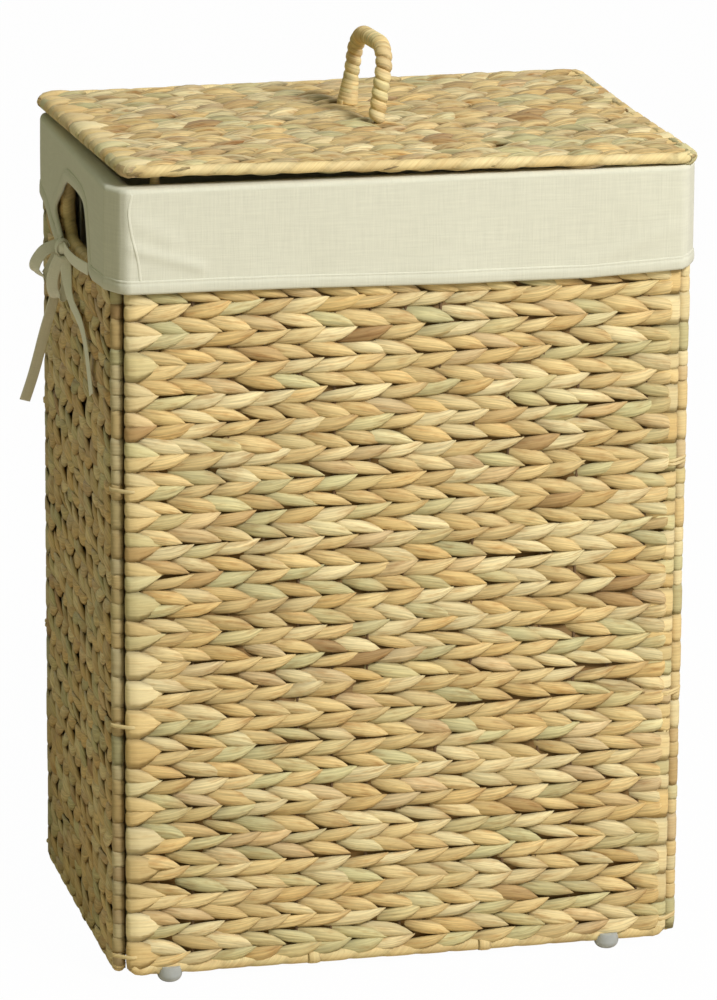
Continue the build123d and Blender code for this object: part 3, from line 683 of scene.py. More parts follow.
def core_slab(panel, thickness, hole=None, inset=4.0, front=0.3):
    """Flat filling of a panel, dark with the painted shade of the leaf deep in the weave: a rectangle
    carried round from the hand hole, or from a slit in the middle, to the side wires."""
    middle_along, middle_above, half_along, half_above = hole or (
        panel.width / 2, panel.height / 2, panel.width / 4, 0.0)
    left, right = inset - middle_along, panel.width - inset - middle_along
    low, high = inset - middle_above, panel.height - inset - middle_above
    corners = np.arctan2([low, low, high, high], [left, right, right, left])
    angle = np.sort(np.concatenate([np.linspace(-np.pi, np.pi, 96, endpoint=False), corners]))
    ahead, above = np.cos(angle), np.sin(angle)
    reach = np.minimum(np.where(ahead > 0, right, -left) / np.maximum(np.abs(ahead), 1e-6),
                       np.where(above > 0, high, -low) / np.maximum(np.abs(above), 1e-6))
    outer = np.stack([ahead, above]) * reach
    inner = np.stack([half_along * np.sign(ahead) * np.abs(ahead) ** 0.6,
                      half_above * np.sign(above) * np.abs(above) ** 0.6])
    ring = np.stack([inner, outer, outer, inner], -1)
    depth = np.array([0.0, 0.0, -thickness, -thickness]) + front
    along = middle_along + ring[0]
    up = middle_above + ring[1]
    outward = np.broadcast_to(depth, along.shape)
    points = on_panel(panel, along, up, outward).reshape(-1, 3)
    # The filling's colour is painted shade
    tone = np.array(bpy.context.scene.basket_leaf.core)[:3]
    tones = np.broadcast_to(tone, points.shape)
    return Shape(points, tube_quads(len(angle), 4, closed=True)[:, ::-1], tones,
                 np.stack([along, up], -1).reshape(-1, 2))


def rounded_path(half_along, half_above, radius, step):
    """Closed line round a rectangle with rounded corners, evenly stepped: its points, their outward
    normals, how far along each lies and the whole length."""
    angle = np.linspace(0, np.pi / 2, BEND_STEPS)
    turns = np.concatenate([angle - np.pi / 2, angle, angle + np.pi / 2, angle + np.pi])
    centre_along = np.repeat([1, 1, -1, -1], BEND_STEPS) * (half_along - radius)
    centre_above = np.repeat([-1, 1, 1, -1], BEND_STEPS) * (half_above - radius)
    line = np.stack([centre_along + radius * np.cos(turns), centre_above + radius * np.sin(turns)], -1)
    line = np.concatenate([line, line[:1]])
    run = run_along(line)
    count = int(run[-1] / step)
    place = np.arange(count) / count * run[-1]
    points = np.stack([np.interp(place, run, line[:, 0]), np.interp(place, run, line[:, 1])], -1)
    ahead = unit(np.roll(points, -1, 0) - np.roll(points, 1, 0))
    return points, np.stack([ahead[:, 1], -ahead[:, 0]], -1), place, run[-1]


def wound_leaf(path, across, outward, place, total, radius, pitch, groove, rng, closed):
    """Leaf wound along a line: a tube whose radius dips between turns, where the turn is counted
    along the line and once round it, so that the dip is a helix. Fibres follow the helix, and turn
    back on themselves at the two places round the tube that don't show."""
    sides = 12
    turns = max(1, int(round(total / pitch)))
    angle = (np.arange(sides) * 2 * np.pi / sides)[None, :]
    # Turns drift to and fro along the line, but not at its ends
    drift = 0.22 * np.sin(place * 2 * np.pi / total * 7) + 0.15 * np.sin(place * 2 * np.pi / total * 17)
    along = place / total * turns + drift * np.sin(place / total * np.pi) ** 2
    phase = along[:, None] + angle / (2 * np.pi)
    dip = np.abs(2 * (phase % 1) - 1) ** 5
    turn = np.floor(phase).astype(int) % turns
    calm = leaf_tones(rng, turns)
    tones = (0.35 * calm + 0.65 * calm.mean(0))[turn]
    swell = rng.uniform(-0.25, 0.25, turns)[turn]
    size = np.reshape(radius, (-1, 1)) + swell * (1 - dip) - groove * dip
    points = (path[:, None] + size[..., None] * (np.cos(angle)[..., None] * across[:, None]
                                                 + np.sin(angle)[..., None] * outward[:, None]))
    # Painted shade in the grooves between turns
    shade = (1 - 0.24 * dip)[..., None]
    folded = np.abs((angle + np.pi / 4) % (2 * np.pi) - np.pi)
    fibre = np.stack([np.mean(radius) * folded + 0 * size, place[:, None] - pitch * folded / (2 * np.pi)], -1)
    fibre = fibre + rng.uniform(0, FIBRE_SPREAD, 2)
    return Shape(points.reshape(-1, 3), tube_quads(len(path), sides, closed=closed),
                 (tones * shade).reshape(-1, 3), fibre.reshape(-1, 2))


def bound_loop(panel, middle, half_along, half_above, radius, thick, pitch, groove, rng, slim=0.0,
               lift=0.0):
    """Leaf wound round a closed wire that lies in a panel's plane or so far out of it, slimmer along
    the upright runs that row ends cover."""
    line, normal, place, total = rounded_path(half_along, half_above, radius, pitch / 8)
    path = on_panel(panel, middle[0] + line[:, 0], middle[1] + line[:, 1], lift + 0 * place)
    outward = normal[:, :1] * panel.right + normal[:, 1:] * panel.up
    across = np.broadcast_to(panel.out, outward.shape)
    upright_run = np.clip((np.abs(normal[:, 0]) - 0.9) / 0.1, 0, 1)
    thick = thick - slim * upright_run ** 2 * (3 - 2 * upright_run)
    return wound_leaf(path, across, outward, place, total, thick, pitch, groove, rng, closed=True)


def panel_edge(panel, corner, rng, thick=BINDING_RADIUS, slim=1.1, lift=0.0):
    """The binding round a whole panel."""
    pitch = bpy.context.scene.basket_leaf.wound_pitch / MM
    return bound_loop(panel, (panel.width / 2, panel.height / 2), panel.width / 2 - EDGE_WIRE,
                      panel.height / 2 - EDGE_WIRE, corner, thick, pitch, groove=0.8, rng=rng, slim=slim,
                      lift=lift)


def sweep(path, side, lift, profile):
    """Points of a profile carried along a path: each point is so far to the side and so far out."""
    return path[:, None] + side[:, None] * profile[..., :1] + lift[:, None] * profile[..., 1:]


def frames_along(path, hint, closed=False):
    """Side and lift directions along a path, the side kept as near to a hint as the path allows."""
    if closed:
        ahead = unit(np.roll(path, -1, 0) - np.roll(path, 1, 0))
    else:
        ahead = unit(np.gradient(path, axis=0))
    hint = np.broadcast_to(hint, path.shape)
    side = unit(hint - (hint * ahead).sum(1, keepdims=True) * ahead)
    return side, np.cross(ahead, side)


def oval(half_width, half_thickness, sides, square=1.0):
    """Oval profile, for one ring or for each ring of a path, squarer with a lower power."""
    angle = np.arange(sides) * 2 * np.pi / sides
    across = np.sign(np.cos(angle)) * np.abs(np.cos(angle)) ** square
    out = np.sign(np.sin(angle)) * np.abs(np.sin(angle)) ** square
    width, thickness = np.broadcast_arrays(np.atleast_1d(half_width), np.atleast_1d(half_thickness))
    return np.stack([width[:, None] * across, thickness[:, None] * out], -1)


def strip(path, hint, half_width, half_thickness, tone, sides=8, square=1.0, closed=False):
    """Strip of leaf, cloth or tape carried along a path, with its fibres along it."""
    side, lift = frames_along(path, hint, closed)
    profile = oval(half_width, half_thickness, sides, square)
    points = sweep(path, side, lift, profile)
    across = np.broadcast_to(profile[..., 0], points.shape[:2])
    fibre = np.stack([run_along(path)[:, None] + 0 * across, across], -1)
    tones = np.broadcast_to(tone, points.shape)
    return Shape(points.reshape(-1, 3), tube_quads(len(path), sides, closed=closed), tones.reshape(-1, 3),
                 fibre.reshape(-1, 2))


def settle_lid(shape, skewed=True):
    """The lid sits askew: its rear edge stands further left than its front one, it tips down to the
    right and up to the rear, its corners rise and fall with the product of their distances from the
    middle, and its right edge bows in as a parabola."""
    leaf = bpy.context.scene.basket_leaf
    low, high = node_box("lid_binding")
    half = (high - low) / 2
    points = shape.points.copy()
    x, y = points[:, 0] / half[0], points[:, 1] / half[1]
    points[:, 2] += (leaf.seat - leaf.tip_right * x + leaf.tip_rear * y + leaf.twist * x * y) / MM
    if skewed:
        bow = leaf.bow_right / MM * (1 - np.minimum(y ** 2, 1)) * np.clip(x, 0, 1)
        points[:, 0] -= leaf.skew / MM / 2 * y + bow
    return shape._replace(points=points)


def hand_hole(panel, ring):
    """Middle and half sizes of a hand hole on its panel, along the ring's wire."""
    low, high = node_box(ring)
    middle = (low + high) / 2 - panel.origin
    half = (high - low) / 2 - FRAME_RADIUS
    return middle @ panel.right, middle @ panel.up, abs(half @ panel.right), abs(half @ panel.up)


class BASKET_OT_weave_walls(bpy.types.Operator):
    """Twine the four walls, bind their edges and their hand holes."""
    bl_idname = "basket.weave_walls"
    bl_label = "Weave walls"

    def execute(self, context):
        leaf = context.scene.basket_leaf
        for number, (name, ways) in enumerate(WALLS.items()):
            rng = np.random.default_rng(SEEDS["walls"] + number)
            panel = wall_panel(name, *ways)
            hole, weave = None, wall_weave()
            if f"{name}_hole_frame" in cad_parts:
                weave = side_weave()
                hole = hand_hole(panel, f"{name}_hole_frame")
                ring = bound_loop(panel, hole[:2], hole[2], hole[3], HOLE_CORNER, BINDING_RADIUS,
                                  leaf.hole_pitch / MM, groove=0.7, rng=rng)
                add_piece(f"{name}_hole_wound_leaf", ring, smooth_leaf(), "basket", "leaf_binding",
                          f"{name}_hole_binding")
            # The left wall keeps a gap to its neighbours
            trim = LEFT_TRIM if name == "left" else 0.0
            filling = core_slab(panel, FILLING, hole, front=0.3 if hole is None else 1.2)
            leaves = twined_leaves(panel, rng, weave, hole)
            if hole is not None:
                # Painted shade darkens and warms the side walls' leaf
                leaves = leaves._replace(tones=leaves.tones * SIDE_PAINTED_SHADE)
            rows = join(leaves, filling)
            add_piece(f"{name}_twined_leaf", rows, dried_leaf(), "basket", "twined_leaf", f"{name}_weave")
            wraps = edge_wraps(panel, rng, weave, trim=trim)
            # Those beside the gap are darkened with painted shade
            wraps = wraps._replace(tones=wraps.tones * (1 - 0.27 * trim))
            edge = join(wraps, panel_edge(panel, WALL_CORNER, rng, slim=1.1 + 1.2 * trim))
            add_piece(f"{name}_edge_leaf", edge, smooth_leaf(), "basket", "leaf_binding", f"{name}_binding")
        return {"FINISHED"}


class BASKET_OT_weave_lid(bpy.types.Operator):
    """Twine both faces of the lid and bind its rim."""
    bl_idname = "basket.weave_lid"
    bl_label = "Weave lid"

    def execute(self, context):
        rng = np.random.default_rng(SEEDS["lid"])
        skew = context.scene.basket_leaf.skew / MM
        top = wall_panel("lid", (1, 0, 0), (0, 1, 0), skew)
        under = wall_panel("lid", (-1, 0, 0), (0, 1, 0), skew)
        weave = lid_weave()
        rows = join(twined_leaves(top, rng, weave), twined_leaves(under, rng, weave),
                    core_slab(top, thickness=0.6, inset=11.0))
        add_piece("lid_twined_leaf", settle_lid(rows), creased_leaf(), "lid", "twined_leaf", "lid_weave")
        # The wraps keep to the rim's outer corner
        corner = 19.5
        edge = join(edge_wraps(top, rng, weave, corner), edge_wraps(under, rng, weave, corner),
                    panel_edge(top, LID_CORNER, rng, thick=4.0, slim=0.4, lift=0.6))
        add_piece("lid_edge_leaf", settle_lid(edge), smooth_leaf(), "lid", "leaf_binding", "lid_binding")
        self.wires(top)
        return {"FINISHED"}

    def wires(self, top):
        """The lid's frame and stakes, settled as its weave is."""
        line = rounded_path(top.width / 2 - EDGE_WIRE, top.height / 2 - EDGE_WIRE, LID_CORNER, 4.0)[0]
        path = on_panel(top, top.width / 2 + line[:, 0], top.height / 2 + line[:, 1], np.zeros(len(line)))
        wire = strip(path, UP, FRAME_RADIUS, FRAME_RADIUS, np.ones(3), sides=10, closed=True)
        add_piece("lid_frame_wire", settle_lid(wire), powder_coated_wire(), "lid", "steel_wire", "lid_frame")
        count, half_length = 16, 134.5
        stakes = []
        for x in (np.arange(count) - (count - 1) / 2) * STAKE_PITCH:
            y = np.linspace(-half_length, half_length, 12)
            line = np.stack([x + 0 * y, y, top.origin[2] + 0 * y], -1)
            stakes.append(strip(line, UP, STAKE_RADIUS, STAKE_RADIUS, np.ones(3), sides=8))
        add_piece("lid_stake_wires", settle_lid(join(*stakes)), powder_coated_wire(), "lid", "steel_wire",
                  "lid_stakes")


class BASKET_OT_weave_base(bpy.types.Operator):
    """Twine the underside of the base and bind its edge."""
    bl_idname = "basket.weave_base"
    bl_label = "Weave base"

    def execute(self, context):
        rng = np.random.default_rng(SEEDS["base"])
        panel = wall_panel("base", (1, 0, 0), (0, -1, 0))
        weave = wall_weave()
        rows = join(twined_leaves(panel, rng, weave), core_slab(panel, FILLING))
        add_piece("base_twined_leaf", rows, dried_leaf(), "basket", "twined_leaf", "base_weave")
        edge = join(edge_wraps(panel, rng, weave), panel_edge(panel, WALL_CORNER, rng))
        add_piece("base_edge_leaf", edge, smooth_leaf(), "basket", "leaf_binding", "base_binding")
        return {"FINISHED"}


def lashing(first, second, axis, radius, rng, turns=2, half_width=1.3):
    """Leaf strip tied round two bound edges: a circle stretched from one edge to the other, wound
    a few times and drifting along them."""
    first, second, axis = (np.array(value, float) for value in (first, second, axis))
    along = unit(second - first)
    aside = np.cross(axis, along)
    angle = np.linspace(0, 2 * np.pi * turns, 36 * turns)[:, None]
    reach = np.linalg.norm(second - first) / 2
    path = (first + second) / 2 + along * (reach * np.tanh(5 * np.cos(angle)) + radius * np.cos(angle))
    path = path + aside * (radius + 0.25 * angle / (2 * np.pi)) * np.sin(angle)
    drift = 1.3 * (angle / (2 * np.pi) - turns / 2) + 0.9 * np.sin(angle / 2 + rng.uniform(0, 6))
    path = path + axis * drift
    tone = leaf_tones(rng, 8).mean(0) * rng.uniform(0.9, 1.0)
    return strip(path, axis, half_width, 0.55, tone, sides=6)


class BASKET_OT_lash_panels(bpy.types.Operator):
    """Lash the walls together at the corners, and the base to the walls."""
    bl_idname = "basket.lash_panels"
    bl_label = "Lash panels"

    def execute(self, context):
        rng = np.random.default_rng(SEEDS["lashings"])
        edges = {name: node_box(f"{name}_binding") for name in (*WALLS, "base")}
        for face in ("front", "back"):
            for side in ("left", "right"):
                self.corner(edges, face, side, rng)
        self.base(edges, rng)
        return {"FINISHED"}

    def corner(self, edges, face, side, rng):
        """Ties between two walls; the uppermost is pulled tighter, under the cuff, and so are those on
        the right."""
        radii = np.array([5.3, 5.3, 5.3, 4.2]) - (0.5 if side == "right" else 0.0)
        low, high = node_box(f"{face}_{side}_ties")
        half_tie = 2.5
        heights = np.linspace(low[2], high[2] - 2 * half_tie, len(radii)) + half_tie
        face_x = edges[face][0][0] + EDGE_WIRE if side == "left" else edges[face][1][0] - EDGE_WIRE
        face_y = (edges[face][0][1] + edges[face][1][1]) / 2
        side_x = (edges[side][0][0] + edges[side][1][0]) / 2
        side_y = edges[side][0][1] + EDGE_WIRE if face == "front" else edges[side][1][1] - EDGE_WIRE
        ties = [lashing((side_x, side_y, z), (face_x, face_y, z), UP, radius, rng)
                for z, radius in zip(heights, radii)]
        add_piece(f"{face}_{side}_lashings", join(*ties), smooth_leaf(), "basket", "leaf_binding",
                  f"{face}_{side}_ties")

    def base(self, edges, rng):
        """Flat bands that hold the base, each between two stakes."""
        low, high = edges["base"]
        base_z = (low[2] + high[2]) / 2
        wall_z = edges["front"][0][2] + EDGE_WIRE
        band = (5.1, rng, 1, 4.5)
        ties = []
        for face, base_y in (("front", low[1] + EDGE_WIRE), ("back", high[1] - EDGE_WIRE)):
            wall_y = (edges[face][0][1] + edges[face][1][1]) / 2
            ties += [lashing((x, base_y, base_z), (x, wall_y, wall_z), (1, 0, 0), *band)
                     for x in (-2.5 * STAKE_PITCH, 2.5 * STAKE_PITCH)]
        y = -0.5 * STAKE_PITCH
        for side, base_x in (("left", low[0] + EDGE_WIRE), ("right", high[0] - EDGE_WIRE)):
            wall_x = (edges[side][0][0] + edges[side][1][0]) / 2
            ties.append(lashing((base_x, y, base_z), (wall_x, y, wall_z), (0, 1, 0), *band))
        add_piece("base_lashings", join(*ties), smooth_leaf(), "basket", "leaf_binding", "base_ties")


def handle_arch(count):
    """Line of the handle's wire, evenly stepped: two legs and a top bar joined by quarter circles,
    leant and turned into place. Gives its points, the directions ahead, the arch's own sideways
    direction and how far along each point lies."""
    handle = bpy.context.scene.basket_handle
    half, crest, bend = handle.span / MM / 2, handle.crest / MM, handle.bend / MM
    angle = np.linspace(0, np.pi / 2, BEND_STEPS)
    line = np.concatenate([
        [(-half, 0.0)],
        np.stack([-half + bend - bend * np.cos(angle), crest - bend + bend * np.sin(angle)], -1),
        np.stack([half - bend + bend * np.sin(angle), crest - bend + bend * np.cos(angle)], -1),
        [(half, 0.0)]])
    run = run_along(line)
    place = np.linspace(0, run[-1], count)
    y, z = np.interp(place, run, line[:, 0]), np.interp(place, run, line[:, 1])
    lean, turn = handle.lean, handle.turn
    sideways = np.array([math.cos(lean) * math.cos(turn), math.cos(lean) * math.sin(turn), -math.sin(lean)])
    up = np.array([math.sin(lean) * math.cos(turn), math.sin(lean) * math.sin(turn), math.cos(lean)])
    back = np.cross(up, sideways)
    points = np.array(handle.place) / MM + y[:, None] * back + z[:, None] * up
    return points, unit(np.gradient(points, axis=0)), sideways, place


class BASKET_OT_wind_handle(bpy.types.Operator):
    """Wind the handle: one strand about the wire, in plump turns on the legs and fine ones on top."""
    bl_idname = "basket.wind_handle"
    bl_label = "Wind handle"

    def execute(self, context):
        rng = np.random.default_rng(SEEDS["handle"])
        arch, ahead, sideways, place = handle_arch(1400)
        share, *columns = HANDLE_WINDING.T
        pitch, half_width, half_thickness, radius = (np.interp(place / place[-1], share, column)
                                                     for column in columns)
        angle = np.concatenate([[0], np.cumsum(np.diff(place) * 2 * np.pi / pitch[1:])])
        outward = np.cross(ahead, sideways)
        spoke = outward * np.cos(angle)[:, None] + sideways * np.sin(angle)[:, None]
        path = arch + spoke * radius[:, None]
        # The strand's colour changes little from turn to turn
        turn = np.floor(angle / (2 * np.pi)).astype(int)
        tones = leaf_tones(rng, turn[-1] + 1)
        tones = 1.08 * (0.5 * tones + 0.5 * tones.mean(0))
        strand = strip(path, ahead, half_width, half_thickness, tones[turn][:, None, :], sides=10)
        add_piece("lid_handle_wound_leaf", settle_lid(strand, skewed=False), dried_leaf(), "lid",
                  "leaf_binding", "lid_handle_winding")
        return {"FINISHED"}


class BASKET_OT_wrap_pegs(bpy.types.Operator):
    """Wrap the pegs under the lid that drop inside the rim."""
    bl_idname = "basket.wrap_pegs"
    bl_label = "Wrap pegs"

    def execute(self, context):
        rng = np.random.default_rng(SEEDS["pegs"])
        low, high = node_box("lid_pegs")
        radius, end = 3.5, 3.0
        place = np.linspace(0, high[2] - low[2], 40)
        near_end = np.clip(place - place[-1] + end, 0, end)
        rounded = np.sqrt(np.clip(1 - (near_end / 3.05) ** 2, 0, 1))[:, None]
        across, outward = np.array([[1.0, 0, 0]]) * rounded, np.array([[0, -1.0, 0]]) * rounded
        pegs = []
        # The left ones stand a little further in
        for x in (low[0] + radius + 2.0, high[0] - radius):
            for y in (low[1] + radius, high[1] - radius):
                path = np.stack([x + 0 * place, y + 0 * place, high[2] - place], -1)
                pegs.append(wound_leaf(path, across, outward, place, place[-1], radius, pitch=3.6,
                                       groove=0.5, rng=rng, closed=False))
        add_piece("lid_wrapped_pegs", settle_lid(join(*pegs), skewed=False), dried_leaf(), "lid",
                  "leaf_binding", "lid_pegs")
        return {"FINISHED"}


def through(points, steps):
    """Smooth line through points, a cubic on each span whose slopes are half of its neighbours' gap."""
    points = np.array(points, float)
    before, after = np.roll(points, 1, 0), np.roll(points, -1, 0)
    before[0], after[-1] = 2 * points[0] - points[1], 2 * points[-1] - points[-2]
    slope = (after - before) / 2
    t = (np.arange(steps) / steps)[None, :, None]
    start, end, rise, fall = points[:-1, None], points[1:, None], slope[:-1, None], slope[1:, None]
    spans = ((2 * t ** 3 - 3 * t ** 2 + 1) * start + (t ** 3 - 2 * t ** 2 + t) * rise
             + (3 * t ** 2 - 2 * t ** 3) * end + (t ** 3 - t ** 2) * fall)
    return np.concatenate([spans.reshape(-1, points.shape[1]), points[-1:]])


def mouth_loop(half_x, half_y, radius, across, along, turn, flat=0.0):
    """Rounded rectangle in plan, from the front's left end to the right: points, outward normals and
    ways ahead. Columns keep their share of each side, so loops of other sizes line up. Corners are
    quarter circles, or that share of the way to their straight chords."""
    front = np.stack([across * (half_x - radius), 0 * across - half_y], -1)
    side = np.stack([0 * along + half_x, along * (half_y - radius)], -1)
    corner = np.array([half_x - radius, half_y - radius])

    def bend(start, sign):
        angle = start + turn
        spoke = np.stack([np.cos(angle), np.sin(angle)], -1)
        share = (turn / (np.pi / 2))[:, None]
        first, last = np.array([(np.cos(start), np.sin(start)), (-np.sin(start), np.cos(start))])
        reach = (1 - flat) * spoke + flat * (first * (1 - share) + last * share)
        return spoke, corner * np.array(sign) + radius * reach

    points, normals = [], []
    for straight, normal, start, sign in (
            (front, (0, -1), -np.pi / 2, (1, -1)), (side, (1, 0), 0.0, (1, 1)),
            (-front, (0, 1), np.pi / 2, (-1, 1)), (side[::-1] * (-1, 1), (-1, 0), np.pi, (-1, -1))):
        spoke, curve = bend(start, sign)
        points += [straight, curve]
        normals += [np.broadcast_to(np.array(normal, float), straight.shape), spoke]
    points, normals = np.concatenate(points), np.concatenate(normals)
    return points, normals, np.stack([-normals[:, 1], normals[:, 0]], -1)


def upright(plan, height):
    """Plan points at a height, as points in space."""
    return np.concatenate([plan, np.broadcast_to(np.atleast_1d(height)[:, None], (len(plan), 1))], 1)


def cloth_shape(points, quads, run, drop):
    """Cloth grid with its threads along the run and the drop."""
    fibre = np.stack([np.broadcast_to(run, points.shape[:2]), np.broadcast_to(drop, points.shape[:2])], -1)
    return Shape(points.reshape(-1, 3), quads, np.ones((points.shape[0] * points.shape[1], 3)),
                 fibre.reshape(-1, 2))


def cuff_loop(*sizes):
    """Loop of the cuff: nearly straight across the corners, the two front ones cut back along a
    slanted line and the two rear ones drawn in by a bell."""
    plan, normal, ahead = mouth_loop(*sizes, flat=0.8)
    half_x = sizes[0]
    cut_start, cut_run, cut_depth = -123, 18.6, 10.0
    limit = half_x - cut_depth * np.clip((cut_start - plan[:, 1]) / cut_run, 0, 1)
    plan[:, 0] = np.clip(plan[:, 0], -limit, limit)
    bell_place, bell_width, bell_depth = 134, 9, 3.0
    end_start, end_run = 185, 15
    near_end = np.clip((np.abs(plan[:, 0]) - end_start) / end_run, 0, 1)
    drawn = bell_depth * np.exp(-((plan[:, 1] - bell_place) / bell_width) ** 2) * near_end
    plan[:, 0] -= np.sign(plan[:, 0]) * drawn
    return plan, normal, ahead


def cuff_plan():
    """Columns of the cuff: their places, outward and sideways directions, the height of the lower edge
    and how far round it lies, the way round, and the sizes of the loop."""
    side = through(SIDE_EDGE, 8)
    half_x, half_y = node_box("liner_cuff")[1][:2] - 0.6
    radius = half_y - SIDE_EDGE[-1, 0]
    across = np.linspace(-1, 1, 150)
    turn = np.linspace(0, np.pi / 2, 8)[1:-1]
    sizes = (half_x, half_y, radius, across, side[:, 0] / (half_y - radius), turn)
    plan, normal, ahead = cuff_loop(*sizes)
    pull = side[:, 1] - side[:, 0]
    front = np.interp(across, FRONT_EDGE[:, 0], FRONT_EDGE[:, 1])
    back = BACK_EDGE[0] + BACK_EDGE[1] * across ** 2
    corner_front = np.full(len(turn), SIDE_EDGE[0, 2])
    corner_back = np.full(len(turn), SIDE_EDGE[-1, 2])
    edge = np.concatenate([front, corner_front, side[:, 2], corner_back, back, corner_back,
                           side[::-1, 2], corner_front])
    face, corner = np.zeros(len(across)), np.zeros(len(turn))
    shift = np.concatenate([face, corner, pull, corner, face, corner, -pull[::-1], corner])
    return plan, normal, ahead, edge, shift, run_along(plan), sizes


def cloth_ripple(run, height):
    """Shallow waves of cloth, a sum of slanted sines, stronger towards the hem."""
    loose = np.clip((CUFF_TOP - height) / 76.0, 0, 1.2) ** 1.3
    waves = (0.55 * np.sin(run / 31 + height / 40) + 0.45 * np.sin(run / 19 - height / 27 + 1.7)
             + 0.3 * np.sin(run / 11.5 + height / 60 + 4.0))
    return loose * (0.5 + waves)


def crease(run, height, start, end, width, depth):
    """Ridge along a line between two places on the cloth, falling off as a bell beside it."""
    line = np.array(end, float) - np.array(start, float)
    away_run, away_height = run - start[0], height - start[1]
    share = np.clip((away_run * line[0] + away_height * line[1]) / (line @ line), 0, 1)
    gap = np.hypot(away_run - share * line[0], away_height - share * line[1])
    return depth * np.exp(-(gap / width) ** 2)


def cuff_relief(run, height):
    """All the relief of the cuff: its waves and its creases."""
    relief = cloth_ripple(run, height)
    for place in CREASES:
        relief = relief + crease(run, height, *place)
    return relief


